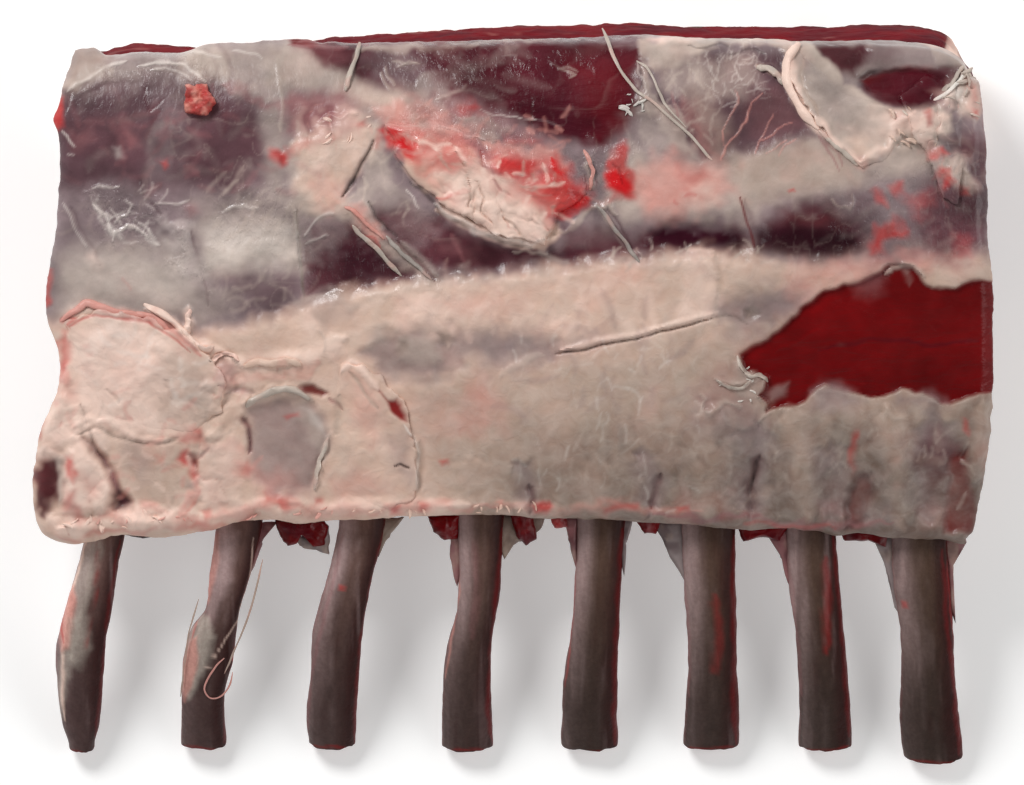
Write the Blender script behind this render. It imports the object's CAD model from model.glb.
"""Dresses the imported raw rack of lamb: a slab of meat and fat, loose trimmings, eight ribs, and the stage."""

import math

import bpy
import numpy as np
from bpy.props import FloatProperty, FloatVectorProperty, PointerProperty
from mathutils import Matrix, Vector


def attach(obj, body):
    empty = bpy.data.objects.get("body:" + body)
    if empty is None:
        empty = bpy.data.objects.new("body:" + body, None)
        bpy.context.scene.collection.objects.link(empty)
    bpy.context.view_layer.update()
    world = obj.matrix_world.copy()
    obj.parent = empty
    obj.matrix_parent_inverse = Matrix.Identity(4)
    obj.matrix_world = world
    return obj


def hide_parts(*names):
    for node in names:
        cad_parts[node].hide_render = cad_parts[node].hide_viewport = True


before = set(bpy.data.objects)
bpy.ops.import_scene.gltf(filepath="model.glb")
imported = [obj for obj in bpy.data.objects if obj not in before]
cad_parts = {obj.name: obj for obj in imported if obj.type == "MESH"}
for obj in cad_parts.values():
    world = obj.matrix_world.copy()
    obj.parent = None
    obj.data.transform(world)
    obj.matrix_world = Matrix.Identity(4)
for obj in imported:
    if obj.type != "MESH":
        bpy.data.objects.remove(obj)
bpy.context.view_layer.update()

bl_info = {
    "name": "Raw Rack of Lamb",
    "version": (1, 0, 0),
    "blender": (4, 5, 0),
    "location": "View3D > Sidebar > Rack of Lamb",
    "description": "Models a frenched rack of lamb around its packed solids",
    "category": "Add Mesh",
}

MM = 0.001

# The slab in plan: each edge as (place along it, how far out it lies), in mm. The solids have the same edges.
LEFT_EDGE = [
    (-29.4, -91.4), (-27.6, -94.6), (-24, -95.8), (-16.8, -96.2), (-9, -95.2), (-4.8, -93.8), (-0.8, -92),
    (4, -90.8), (10, -91.2), (15, -93), (23, -93.2), (31, -91.6), (39, -90.8), (49, -90.4), (52.4, -90.8),
    (55.2, -91.8), (58, -90.8), (63, -89.6), (68.4, -87.8), (72, -86),
]
RIGHT_EDGE = [
    (-29, 91), (-26.8, 92.6), (-20, 93.6), (-14.8, 94.6), (-4.8, 95.8), (13, 96), (24, 95.8), (30, 95),
    (49, 94.4), (61, 93.6), (68, 92.4), (72, 89),
]
CHINE_EDGE = [
    (-92, 67), (-87, 69.2), (-80.6, 70.2), (-76, 71.2), (-64, 70.8), (-54, 70.6), (-44.6, 71.6),
    (-36.6, 72.6), (-18.6, 73.6), (-8.6, 74.2), (9.4, 74.8), (25.4, 75.1), (40, 74.4), (49.4, 74.6),
    (60, 74.3), (71.4, 74.8), (83.4, 74.2), (89.4, 71.6), (92, 68),
]
RIB_EDGE = [
    (-96, -28), (-88.6, -29.6), (-84, -29), (-78.6, -28), (-70, -28.4), (-65.6, -27.8), (-59.6, -26.8),
    (-55, -25.2), (-48, -24.8), (-42.6, -25.8), (-38, -25), (-30, -24.8), (-22.6, -24.2), (-2.6, -23.8),
    (3, -24.4), (9.4, -24.6), (21.4, -24.8), (26, -25.4), (37.4, -26), (45.4, -26.8), (57.4, -26.8),
    (66, -28), (69.4, -27.6), (76, -28.4), (85.4, -28.8), (90.4, -29.6), (96, -29),
]
TOP_PROFILE = [
    (-30, 29.6), (-24, 31.4), (-14, 34.8), (0, 39), (12, 42.2), (24, 44.4), (36, 46), (48, 47), (58, 46.4),
    (66, 44), (72, 41), (76, 39),
]
CHINE_SHOWS = [  # along the spine, how much of the raw chine side shows beyond the cover
    (-96, 0), (-84, 0), (-81, 0.5), (-74, 0.62), (-66, 0.5), (-61, 0.05), (-44, 0.02), (-38, 0.4), (-28, 0.6),
    (-10, 0.75), (0, 0.82), (15, 0.8), (30, 0.7), (44, 0.75), (60, 0.85), (75, 0.95), (96, 1),
]
END_DROP = 1.6
END_DROP_POWER = 4
HALF_LENGTH = 96
CHINE_BULGE = 4.6
SIDE_BULGE = 1.4
RIM_ROUND = 2.6  # over this distance from its edges the top rolls down
RIM_DROP = 1.7

RIB_PEAK_Y = -18
RIB_PEAK_Z = 22.3
RIB_TIP_Z = 2.6
FALL_TO_CHINE = 0.00185
RIB_THICKNESS = 6.6

# Each rib's two sides in plan over y, in mm: (y, left side, right side), from the tip to the meat.
RIBS = [
    [(-72.2, -89.8, -84.8), (-65, -91.6, -83.2), (-58, -92.2, -82.6), (-50.8, -92.2, -82),
     (-44, -90.4, -80.8), (-34, -87.6, -79.2), (-27, -86, -77.8), (-20, -85.8, -77.4), (69, -86.2, -78)],
    [(-71.4, -67.2, -58), (-66, -67.2, -58.2), (-60, -67, -58), (-54, -66.6, -56.4), (-48, -65, -55.6),
     (-44, -62.2, -55), (-37, -61.2, -53), (-27, -60, -50.4), (-20, -59.4, -50.2), (70, -62, -53)],
    [(-71.2, -41.4, -31.8), (-65, -41.8, -31.6), (-58, -41, -31), (-48, -40.4, -30.2), (-38, -37.8, -28.4),
     (-27, -35.2, -25.8), (-20, -34.8, -25.6), (71.6, -38, -29)],
    [(-71.8, -14.6, -3.8), (-65, -14.4, -4.2), (-56, -14, -4.4), (-50, -13, -4.2), (-44, -11.4, -3.2),
     (-38, -11, -2.4), (-27, -11.4, -1.8), (-20, -11.6, -1.6), (73, -14, -5)],
    [(-71.8, 9.6, 21.4), (-65, 9.8, 21.2), (-56, 10.4, 21.2), (-48, 11.6, 21.6), (-38, 12.4, 21.8),
     (-27, 12.8, 22.6), (-20, 12.6, 22.6), (74, 9.6, 18.6)],
    [(-71.8, 34.4, 45.8), (-65, 34.8, 45.8), (-58, 35.2, 45.4), (-48, 35, 45.2), (-38, 34.2, 45),
     (-27, 33.8, 44.8), (-20, 34, 44.8), (74, 33, 42)],
    [(-71.8, 57.6, 68.8), (-65, 57.8, 68.4), (-56, 57.4, 67.6), (-48, 56.8, 66.8), (-38, 55.4, 65.8),
     (-27, 54.8, 65), (-20, 54.8, 64.8), (74, 55.6, 64.6)],
    [(-74.4, 79, 91.4), (-66, 78, 90.4), (-58, 78.2, 89.4), (-48, 78, 88.8), (-38, 76.4, 88.2),
     (-27, 76, 87.4), (-20, 76.2, 87.2), (73, 77, 86)],
]

TISSUES = {  # colour as sRGB 0 to 255, then how much it is skin, fat and raw meat
    "skin": ((138, 126, 127), (1, 0, 0)),
    "skin_dark": ((102, 79, 84), (1, 0, 0)),
    "skin_pale": ((164, 155, 148), (1, 0.1, 0)),
    "veil": ((190, 178, 166), (0.7, 0.5, 0)),
    "white": ((236, 231, 222), (0.6, 0.6, 0)),
    "muscle": ((84, 24, 37), (0.6, 0, 0.8)),
    "plum": ((96, 56, 63), (0.8, 0, 0.5)),
    "plum_deep": ((54, 14, 30), (0.7, 0, 0.8)),
    "cream": ((218, 186, 167), (0, 1, 0)),
    "ivory": ((246, 214, 198), (0, 1, 0)),
    "tallow": ((176, 152, 136), (0, 1, 0)),
    "drab": ((138, 120, 107), (0.2, 0.9, 0)),
    "dun": ((104, 88, 79), (0.1, 0.9, 0)),
    "slate": ((144, 130, 129), (0.7, 0.4, 0)),
    "raw": ((112, 3, 10), (0, 0, 1)),
    "raw_light": ((142, 14, 20), (0, 0, 1)),
    "blood": ((190, 58, 56), (0, 0.2, 1)),
    "blood_bright": ((210, 26, 34), (0, 0, 1)),
    "pink": ((214, 146, 134), (0, 0.8, 0.3)),
    "rose": ((148, 98, 100), (0.4, 0.3, 0.4)),
    "shade": ((50, 28, 28), (0.3, 0.3, 0.3)),
    "bone_rosy": ((116, 88, 82), (0.6, 0, 0)),
    "bone_umber": ((86, 66, 55), (0.6, 0, 0)),
    "bone_plum": ((84, 62, 61), (0.6, 0, 0)),
    "bone_dark": ((56, 43, 38), (0.6, 0, 0)),
    "bone_grey": ((184, 158, 156), (0.8, 0, 0)),
    "bone_red": ((48, 14, 12), (0.6, 0, 0)),
    "scrap_red": ((170, 60, 55), (0, 0.3, 1)),
    "scrap_pink": ((206, 128, 112), (0, 1, 0.3)),
}


def places(*tenths):
    """Points in mm from a row of x, y, x, y in tenths of a mm."""
    return [(x / 10, y / 10) for x, y in zip(tenths[::2], tenths[1::2])]


def area(tissue, strength, soft, ragged, lift, *outline):
    """A mark over an area: its soft edge, raggedness and lift in mm, and its outline in tenths of a mm."""
    return "area", tissue, strength, soft, ragged, lift, places(*outline)


def line(tissue, strength, width, ragged, lift, *path):
    """A mark along a line: its width, raggedness and lift in mm, and its path in tenths of a mm."""
    return "line", tissue, strength, width, ragged, lift, places(*path)


# What lies where on the slab, from the lowest layer up.
MARKS = [
    area("skin_pale", 0.7, 10, 2, 0, -946, 712, -426, 712, -426, 612, -726, 624, -906, 572),
    area("veil", 0.75, 5, 2, 0.1, -666, 704, -366, 712, -186, 596, -226, 572, -366, 600, -502, 600, -586, 624,
         -666, 644),
    area("skin_dark", 0.96, 7, 2, -0.2, -934, 576, -882, 604, -786, 624, -646, 624, -554, 612, -502, 576,
         -490, 512, -494, 440, -546, 392, -666, 400, -786, 416, -934, 400),
    area("plum", 0.25, 6, 2, 0, -898, 552, -826, 560, -766, 532, -726, 492, -766, 468, -866, 484, -902, 512),
    area("plum", 0.22, 6, 2, 0, -686, 572, -526, 572, -502, 492, -546, 432, -666, 452),
    area("skin", 0.6, 5, 2, 0, -726, 600, -666, 608, -654, 552, -666, 412, -726, 412),
    area("skin", 0.9, 8, 2, 0, -934, 400, -786, 416, -666, 400, -546, 396, -502, 380, -526, 348, -666, 340,
         -746, 304, -934, 292),
    area("skin_pale", 0.75, 8, 2, 0, -634, 380, -546, 392, -434, 400, -430, 300, -546, 292, -634, 304),
    area("veil", 0.85, 3, 1.6, 0.3, -614, 296, -574, 300, -526, 304, -466, 306, -430, 304, -432, 280, -486,
         268, -546, 262, -598, 264),
    area("skin_dark", 0.55, 7, 2.5, -0.2, -594, 260, -434, 264, -426, 172, -486, 156, -554, 192, -598, 224),
    area("veil", 0.6, 9, 2.5, 0.2, -902, 268, -806, 300, -726, 276, -674, 232, -646, 168, -726, 180, -846,
         192, -902, 176),
    area("skin_pale", 0.6, 6, 2, 0, -666, 228, -598, 232, -554, 184, -586, 140, -634, 148),
    area("skin", 0.8, 3, 1, 0, -938, 292, -910, 292, -898, 192, -906, 132, -938, 140),
    area("skin_pale", 0.8, 5, 1.6, 0, -502, 608, -454, 600, -446, 532, -454, 400, -490, 396, -498, 492),
    area("rose", 0.75, 5, 2, -0.1, -446, 588, -390, 592, -338, 572, -322, 548, -366, 528, -418, 516, -446,
         536),
    area("skin_dark", 0.4, 4, 2, 0, -430, 568, -366, 568, -354, 536, -410, 528),
    line("rose", 0.5, 3.5, 2, 0, -574, 620, -534, 604, -490, 588, -450, 584),
    area("tallow", 0.5, 6, 2, 0, -886, 692, -802, 700, -810, 672, -866, 636, -894, 608),
    area("slate", 0.5, 5, 2, 0, -566, 700, -502, 704, -482, 660, -502, 608, -554, 628),
    line("veil", 0.45, 1.4, 0.6, 0.1, -472, 672, -462, 632, -456, 592, -458, 552, -466, 524),
    line("white", 0.5, 1.5, 0.5, 0.15, -894, 608, -866, 628, -834, 646, -802, 662, -774, 670),
    line("veil", 0.5, 5, 1.5, 0.1, -894, 616, -846, 640, -790, 660),
    line("white", 0.55, 1.2, 0.6, 0.15, -746, 660, -714, 670, -682, 668, -654, 660, -634, 644, -614, 624),
    line("white", 0.4, 1.0, 0.6, 0.1, -726, 648, -694, 656, -670, 648, -646, 632),
    line("white", 0.4, 0.9, 0.4, 0.1, -654, 694, -618, 686, -578, 674),
    line("white", 0.35, 0.9, 0.5, 0.1, -562, 692, -514, 684, -502, 676),
    line("plum", 0.55, 1.2, 0.5, -0.1, -736, 620, -732, 592, -726, 568, -710, 580, -698, 596),
    line("plum", 0.45, 1.2, 0.5, -0.1, -706, 568, -722, 544, -730, 512),
    line("plum", 0.35, 1.6, 0.6, 0, -582, 576, -570, 548, -578, 520),
    area("rose", 0.4, 3, 1.6, 0, -886, 528, -846, 532, -834, 508, -866, 500),
    area("rose", 0.35, 3, 1.6, 0, -802, 552, -770, 556, -750, 500, -782, 492),
    area("blood", 0.6, 1.4, 0.9, 0, -706, 466, -694, 472, -690, 462, -700, 454),
    area("rose", 0.5, 3, 1.2, 0, -650, 380, -630, 384, -626, 368, -642, 364),
    area("white", 0.3, 1.6, 0.9, 0.1, -794, 492, -782, 496, -778, 476, -788, 472),
    line("white", 0.45, 0.9, 0.6, 0.15, -902, 528, -890, 516, -874, 496),
    line("white", 0.3, 0.7, 0.4, 0.1, -890, 484, -874, 480),
    area("white", 0.35, 3, 3, 0.2, -842, 392, -818, 384, -794, 340, -786, 320, -802, 308, -818, 340),
    line("white", 0.6, 1.3, 1.2, 0.35, -838, 386, -822, 368, -810, 344, -802, 312),
    line("white", 0.55, 1.1, 1.0, 0.3, -802, 310, -790, 332, -770, 340, -746, 332, -722, 312),
    line("white", 0.4, 1.0, 1.0, 0.25, -846, 416, -818, 420, -786, 420),
    line("white", 0.4, 1.0, 1.2, 0.25, -786, 400, -770, 380, -778, 356, -794, 344),
    line("white", 0.35, 1.0, 1.2, 0.2, -746, 352, -726, 336, -714, 312),
    line("skin_dark", 0.5, 1.0, 0.6, -0.3, -746, 436, -740, 416, -736, 396),
    line("skin_dark", 0.5, 1.0, 0.6, -0.3, -726, 388, -714, 376, -700, 364),
    line("white", 0.35, 0.8, 0.5, 0.2, -706, 386, -674, 384, -646, 392),
    line("white", 0.35, 0.8, 0.8, 0.2, -898, 384, -886, 360, -870, 320, -850, 292),
    line("skin_dark", 0.35, 1.0, 0.6, -0.2, -886, 380, -866, 336, -842, 292, -826, 256),
    area("white", 0.35, 4, 3, 0.2, -686, 344, -654, 344, -650, 312, -644, 268, -646, 236, -662, 240, -674,
         292),
    line("skin_dark", 0.4, 1.0, 0.5, -0.2, -642, 332, -626, 276, -616, 212, -610, 180),
    line("white", 0.35, 1.0, 1.6, 0.2, -582, 376, -546, 384, -502, 372),
    line("white", 0.3, 0.9, 1.6, 0.15, -554, 348, -546, 320, -554, 304),
    area("ivory", 0.5, 3, 1.2, 0.2, -858, 284, -838, 288, -830, 264, -846, 252),
    area("rose", 0.3, 4, 1.6, 0, -786, 228, -754, 224, -742, 192, -770, 192),
    line("blood", 0.45, 1.0, 0.6, 0, -784, 234, -772, 222, -762, 208),
    area("slate", 0.85, 3, 1.6, 0, -426, 364, -382, 372, -338, 352, -362, 312, -402, 300, -426, 320),
    area("muscle", 0.98, 3, 1, -0.3, -426, 700, -346, 724, -186, 740, 94, 752, 254, 752, 266, 688, 242, 648,
         246, 600, 254, 568, 230, 536, 194, 500, 166, 488, 106, 496, 34, 516, -26, 548, -66, 584, -146, 600,
         -206, 608, -282, 628, -358, 660, -406, 682),
    area("plum", 0.8, 5, 2, 0, -382, 692, -326, 700, -186, 692, -86, 680, -26, 632, -26, 592, -146, 596, -226,
         608, -306, 636, -366, 664),
    area("skin", 0.5, 6, 2.5, 0, -286, 688, -186, 684, -146, 652, -166, 608, -226, 608, -282, 636),
    area("rose", 0.35, 6, 2.5, 0, -426, 692, -346, 696, -314, 652, -366, 664, -402, 676),
    area("raw", 0.4, 9, 2, 0, 94, 692, 242, 672, 242, 532, 174, 496, 134, 592),
    area("plum_deep", 0.35, 8, 2, 0, -26, 592, 94, 612, 174, 552, 154, 500, 54, 532),
    line("veil", 0.55, 3.2, 1.2, 0.2, -306, 696, -258, 696, -218, 692, -178, 698, -122, 700, -66, 704),
    line("veil", 0.5, 1.8, 1, 0.2, -86, 704, -6, 708, 70, 716, 98, 720),
    line("skin", 0.6, 3.5, 1.2, 0.1, 54, 716, 134, 712, 214, 708, 254, 700),
    line("white", 0.4, 0.8, 0.6, 0.1, 74, 716, 106, 718, 134, 712),
    line("white", 0.5, 0.7, 0.3, 0.15, -22, 680, -6, 682, 6, 680, 6, 670),
    area("skin_pale", 0.6, 1.4, 1, 0.1, -102, 676, -78, 680, -56, 668, -58, 656, -82, 650, -102, 658),
    area("skin_pale", 0.5, 1.0, 0.9, 0.1, -122, 684, -106, 688, -98, 680, -112, 674),
    area("skin_pale", 0.55, 1.2, 0.9, 0.1, -32, 664, -14, 668, -8, 660, -22, 652),
    area("skin_pale", 0.5, 1.0, 0.9, 0.1, -70, 678, -52, 680, -48, 672, -66, 670),
    area("skin_pale", 0.6, 1.6, 1.6, 0.15, -186, 632, -146, 648, -114, 644, -102, 628, -122, 624, -126, 604,
         -154, 604, -178, 588, -198, 600),
    line("skin_pale", 0.6, 1.6, 0.6, 0.1, -38, 620, -18, 612, -2, 610, 6, 612),
    line("skin_pale", 0.4, 1.2, 0.8, 0.1, -102, 632, -70, 632),
    line("veil", 0.45, 1.0, 0.8, 0.15, -238, 668, -218, 660, -194, 672),
    line("veil", 0.4, 0.9, 0.8, 0.15, -230, 656, -210, 668, -186, 660),
    line("veil", 0.5, 1.0, 0.5, 0.15, -266, 648, -258, 632, -244, 612),
    line("veil", 0.45, 0.9, 0.5, 0.15, -254, 660, -250, 640, -234, 620),
    line("veil", 0.45, 0.8, 0.5, 0.15, 74, 668, 98, 656, 126, 644, 114, 640),
    line("veil", 0.35, 0.8, 0.5, 0.1, 86, 652, 110, 656, 130, 648),
    line("veil", 0.5, 1.4, 0.7, 0.15, -152, 596, -126, 604, -102, 612, -98, 624),
    line("skin", 0.4, 0.8, 0.5, 0.1, 14, 556, 62, 548, 98, 540),
    line("shade", 0.5, 0.6, 0.2, -0.1, 38, 592, 38, 552, 36, 524),
    area("shade", 0.5, 0.9, 0.9, 0, -136, 694, -122, 690, -126, 684, -134, 688),
    area("skin", 0.8, 4, 2, 0.1, -202, 592, -126, 596, -46, 576, 54, 524, 154, 500, 186, 472, 114, 456, -26,
         476, -126, 500, -186, 536),
    area("rose", 0.5, 4, 2.5, 0, -166, 580, -86, 584, -26, 552, 54, 512, 14, 492, -126, 528),
    area("veil", 0.6, 3, 2.5, 0.3, -170, 580, -126, 556, -66, 544, -26, 520, -46, 496, -106, 512, -158, 540),
    line("white", 0.5, 0.9, 1.2, 0.25, -146, 548, -114, 536, -86, 520, -58, 508),
    line("white", 0.45, 0.8, 1.2, 0.2, -66, 572, -26, 556, 14, 544, 46, 548),
    line("veil", 0.5, 1.0, 1.2, 0.2, -138, 576, -106, 560, -74, 556),
    area("blood", 0.8, 1.8, 1.8, 0.1, -110, 576, -90, 586, -70, 576, -82, 566, -102, 562),
    area("blood", 0.35, 4, 2.5, 0, -122, 568, -86, 580, -74, 560, -110, 548),
    area("cream", 0.4, 6, 2, 0, -346, 624, -226, 608, -146, 596, -126, 572, -226, 560, -326, 584),
    area("veil", 0.8, 3.5, 2, 0.3, -442, 500, -406, 524, -374, 544, -338, 556, -282, 552, -266, 528, -278,
         496, -298, 460, -330, 412, -326, 384, -282, 364, -322, 340, -366, 348, -418, 360, -450, 376, -458,
         448),
    area("cream", 0.85, 3.5, 2, 0.5, -426, 512, -378, 544, -326, 556, -278, 540, -290, 492, -322, 436, -346,
         392, -322, 368, -366, 360, -414, 380, -426, 432),
    area("ivory", 0.4, 4, 2.5, 0.2, -386, 524, -334, 540, -314, 512, -346, 472, -390, 452),
    area("pink", 0.35, 4, 2.5, 0.1, -390, 452, -346, 440, -350, 384, -390, 376, -406, 412),
    line("ivory", 0.6, 1.6, 0.8, 0.4, -386, 548, -366, 560, -346, 556, -326, 568, -310, 564),
    area("skin_pale", 0.9, 2.5, 1.6, 0.2, -278, 492, -258, 468, -234, 424, -206, 380, -186, 360, -226, 352,
         -270, 364, -302, 388, -326, 396, -298, 444),
    area("veil", 0.7, 2, 1.6, 0.3, -298, 492, -278, 500, -262, 480, -266, 460, -290, 456),
    area("slate", 0.6, 3, 1.6, -0.2, -266, 412, -230, 412, -202, 380, -210, 356, -250, 364, -274, 388),
    area("slate", 0.5, 3, 1.6, -0.3, -218, 412, -178, 392, -146, 364, -178, 352, -210, 364),
    line("veil", 0.5, 1.0, 1, 0.2, -302, 432, -290, 408, -294, 384),
    line("white", 0.45, 0.8, 1, 0.2, -218, 412, -202, 392, -190, 368),
    area("plum", 0.96, 5, 1.4, -0.9, -418, 320, -374, 340, -326, 344, -266, 364, -226, 368, -186, 364, -146,
         360, -86, 332, -26, 308, 54, 292, 86, 300, 134, 312, 174, 328, 234, 312, 274, 344, 374, 360, 454,
         336, 478, 308, 470, 280, 374, 288, 238, 276, 110, 260, 8, 256, -146, 236, -266, 224, -366, 196, -418,
         200),
    area("plum_deep", 0.75, 8, 1.5, -0.2, -358, 296, -326, 312, -266, 300, -218, 264, -282, 236, -346, 232),
    area("plum_deep", 0.45, 6, 2, -0.2, -186, 328, -86, 320, 14, 284, -26, 264, -146, 260),
    area("plum_deep", 0.6, 4, 1.5, -0.2, -2, 288, 94, 304, 194, 300, 186, 280, 94, 268, 2, 268),
    area("slate", 0.55, 4, 2.5, 0.1, -418, 336, -354, 348, -346, 300, -378, 268, -414, 268),
    area("slate", 0.45, 5, 2.5, 0, -258, 360, -178, 356, -146, 332, -186, 308, -242, 320),
    area("slate", 0.6, 4, 2, 0.1, 86, 324, 134, 348, 186, 368, 214, 328, 182, 308, 94, 312),
    area("rose", 0.3, 6, 2.5, 0, -146, 312, -66, 304, -74, 268, -146, 268),
    line("rose", 0.35, 1.8, 0.8, 0, -122, 320, -106, 292, -94, 268),
    area("plum_deep", 0.98, 3, 1, -0.6, 274, 328, 302, 348, 342, 356, 382, 356, 422, 344, 458, 328, 466, 304,
         450, 288, 374, 294, 302, 288, 266, 296),
    area("skin", 0.9, 6, 2, 0, 230, 552, 294, 552, 414, 492, 694, 512, 774, 472, 958, 492, 962, 232, 774, 252,
         494, 262, 486, 364, 254, 348, 186, 340, 182, 472),
    area("veil", 0.75, 6, 2, 0.4, 198, 472, 254, 488, 374, 476, 494, 500, 602, 512, 674, 492, 726, 464, 706,
         424, 634, 408, 534, 388, 470, 360, 374, 364, 274, 356, 186, 340),
    area("tallow", 0.5, 6, 2, 0.1, 422, 472, 534, 500, 654, 500, 694, 464, 654, 424, 534, 404, 454, 392),
    area("skin_pale", 0.7, 5, 2, 0.1, 246, 568, 286, 568, 334, 512, 334, 480, 274, 472, 246, 512),
    area("pink", 0.75, 7, 2.5, 0.2, 242, 440, 314, 472, 382, 472, 434, 448, 446, 400, 374, 380, 274, 372, 242,
         400),
    area("blood", 0.3, 5, 2.5, 0, 334, 456, 374, 460, 398, 420, 362, 400, 326, 420),
    area("ivory", 0.4, 4, 2, 0.1, 358, 420, 406, 424, 410, 392, 370, 384),
    line("blood", 0.35, 1.4, 0.8, 0, 338, 404, 362, 402),
    line("blood", 0.3, 1.6, 0.8, 0, 322, 392, 334, 380),
    area("skin_dark", 0.93, 4, 1.4, -0.4, 294, 660, 354, 688, 454, 684, 542, 676, 550, 624, 574, 568, 606,
         524, 554, 508, 454, 484, 374, 476, 318, 512, 290, 572),
    area("skin", 0.7, 4, 2, 0, 270, 660, 354, 680, 374, 660, 354, 624, 310, 600, 274, 600),
    area("rose", 0.3, 6, 2, 0, 454, 612, 542, 620, 590, 540, 494, 508),
    area("tallow", 0.4, 5, 1.6, 0, 354, 612, 398, 612, 434, 532, 438, 480, 406, 480, 374, 540),
    area("veil", 0.4, 4, 1.5, 0.1, 366, 672, 478, 680, 494, 624, 454, 584, 398, 584, 370, 624),
    area("pink", 0.25, 4, 1.5, 0, 338, 584, 362, 576, 398, 512, 402, 480, 374, 492),
    area("veil", 0.85, 2, 1.6, 0.4, 266, 712, 294, 724, 374, 732, 426, 736, 502, 736, 534, 732, 566, 712, 566,
         684, 542, 684, 510, 708, 462, 696, 414, 700, 374, 684, 334, 672, 302, 664, 278, 644, 258, 668),
    area("ivory", 0.5, 1.6, 1.2, 0.2, 274, 712, 334, 726, 422, 732, 502, 732, 554, 716, 562, 696, 514, 716,
         434, 720, 354, 712, 294, 700),
    area("veil", 0.55, 2, 2.2, 0.3, 254, 672, 278, 648, 286, 600, 326, 568, 354, 524, 374, 488, 342, 492, 302,
         528, 266, 564, 254, 600),
    line("shade", 0.35, 0.8, 1, -0.3, 354, 700, 382, 696, 410, 704, 426, 696),
    line("shade", 0.35, 0.8, 1, -0.3, 438, 680, 470, 688, 502, 684),
    line("shade", 0.4, 1.0, 1.5, -0.3, 254, 656, 262, 632, 256, 608),
    line("rose", 0.5, 1.2, 0.8, -0.1, 318, 608, 326, 584, 334, 560),
    line("white", 0.4, 1.0, 1.5, 0.3, 242, 672, 254, 652, 266, 628, 274, 604),
    line("pink", 0.6, 0.7, 0.6, 0, 412, 472, 422, 500, 442, 520, 462, 544, 466, 568),
    line("pink", 0.5, 0.6, 0.6, 0, 422, 500, 418, 532, 434, 560, 450, 584, 446, 612),
    line("pink", 0.5, 0.6, 0.6, 0, 462, 544, 478, 584, 498, 604),
    line("pink", 0.45, 0.6, 0.6, 0, 482, 480, 490, 508, 510, 536, 522, 568),
    line("pink", 0.45, 0.6, 0.6, 0, 490, 508, 518, 520, 542, 540, 558, 544),
    line("pink", 0.4, 0.6, 0.6, 0, 506, 484, 530, 500, 546, 512),
    line("pink", 0.4, 0.6, 0.6, 0, 534, 476, 546, 500, 566, 508),
    line("rose", 0.6, 1.0, 0.6, 0, 602, 524, 626, 500, 638, 472, 650, 448),
    line("rose", 0.5, 1.0, 0.6, 0, 614, 520, 646, 488, 654, 456),
    area("plum", 0.92, 5, 1.5, -0.6, 502, 348, 554, 380, 638, 384, 686, 352, 694, 304, 670, 288, 554, 288,
         502, 300),
    area("plum_deep", 0.92, 3.5, 1, -0.3, 506, 316, 554, 320, 614, 316, 674, 328, 690, 308, 666, 288, 554,
         288, 510, 296),
    area("raw", 0.3, 5, 1.5, 0, 542, 368, 634, 376, 654, 344, 574, 332),
    area("slate", 0.45, 4, 2, 0.1, 626, 400, 686, 400, 690, 360, 646, 348, 618, 376),
    area("blood", 0.7, 1.0, 0.9, 0, 542, 412, 558, 416, 562, 408, 546, 406),
    line("veil", 0.45, 1.0, 1.2, 0.2, 630, 392, 654, 380, 674, 368, 678, 392, 674, 408),
    area("skin_pale", 0.85, 3, 1, 0.2, 574, 716, 714, 724, 834, 716, 898, 688, 934, 640, 934, 584, 854, 648,
         774, 652, 718, 644, 674, 624, 626, 672),
    area("slate", 0.7, 5, 1.5, 0, 698, 704, 814, 704, 874, 672, 834, 656, 734, 656, 698, 664),
    area("muscle", 0.92, 3, 1, -0.6, 606, 700, 646, 708, 698, 708, 714, 692, 698, 660, 678, 640, 650, 648,
         618, 676),
    area("plum", 0.4, 5, 1.5, 0, 694, 708, 754, 700, 774, 672, 710, 656),
    area("plum_deep", 0.6, 1.8, 0.9, -1.2, 690, 628, 710, 640, 742, 648, 806, 652, 842, 652, 866, 636, 862,
         608, 838, 588, 810, 572, 774, 580, 734, 592, 702, 608),
    area("raw", 0.85, 2.5, 0.9, 0, 690, 628, 710, 640, 742, 648, 834, 652, 862, 636, 846, 600, 810, 576, 774,
         580, 734, 592, 702, 608),
    area("plum_deep", 0.6, 5, 1, 0, 774, 640, 854, 648, 862, 608, 814, 576, 774, 592),
    line("ivory", 0.45, 1.6, 0.5, 0.2, 598, 728, 674, 732, 754, 724, 802, 716, 854, 700, 890, 676, 922, 644),
    line("veil", 0.5, 4, 1.2, 0.2, 834, 696, 874, 676, 906, 648, 922, 612),
    area("skin_dark", 0.75, 6, 1.5, -0.3, 834, 452, 874, 472, 958, 492, 962, 268, 846, 284, 802, 364),
    area("plum", 0.75, 3.5, 1, -0.3, 874, 520, 914, 528, 942, 512, 946, 432, 906, 460, 878, 484),
    area("skin_pale", 0.6, 5, 2, 0.1, 706, 464, 774, 496, 834, 480, 842, 440, 774, 424, 714, 424),
    area("skin_dark", 0.5, 5, 2, 0, 662, 400, 714, 392, 726, 312, 686, 284, 654, 332),
    area("plum", 0.45, 5, 2, 0, 774, 352, 834, 340, 934, 352, 942, 288, 834, 292),
    area("cream", 0.97, 5, 1.6, 0.8, -986, 156, -904, 150, -856, 188, -778, 166, -700, 146, -626, 116, -594,
         132, -526, 148, -446, 160, -402, 188, -324, 212, -226, 224, -146, 232, 8, 250, 110, 258, 238, 270,
         354, 290, 410, 286, 494, 268, 574, 260, 714, 260, 794, 268, 994, 268, 994, -368, -986, -368),
    area("veil", 0.45, 3, 2.5, 0.2, -366, 196, -146, 232, 8, 252, 110, 260, 254, 276, 342, 288, 342, 268, 174,
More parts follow.
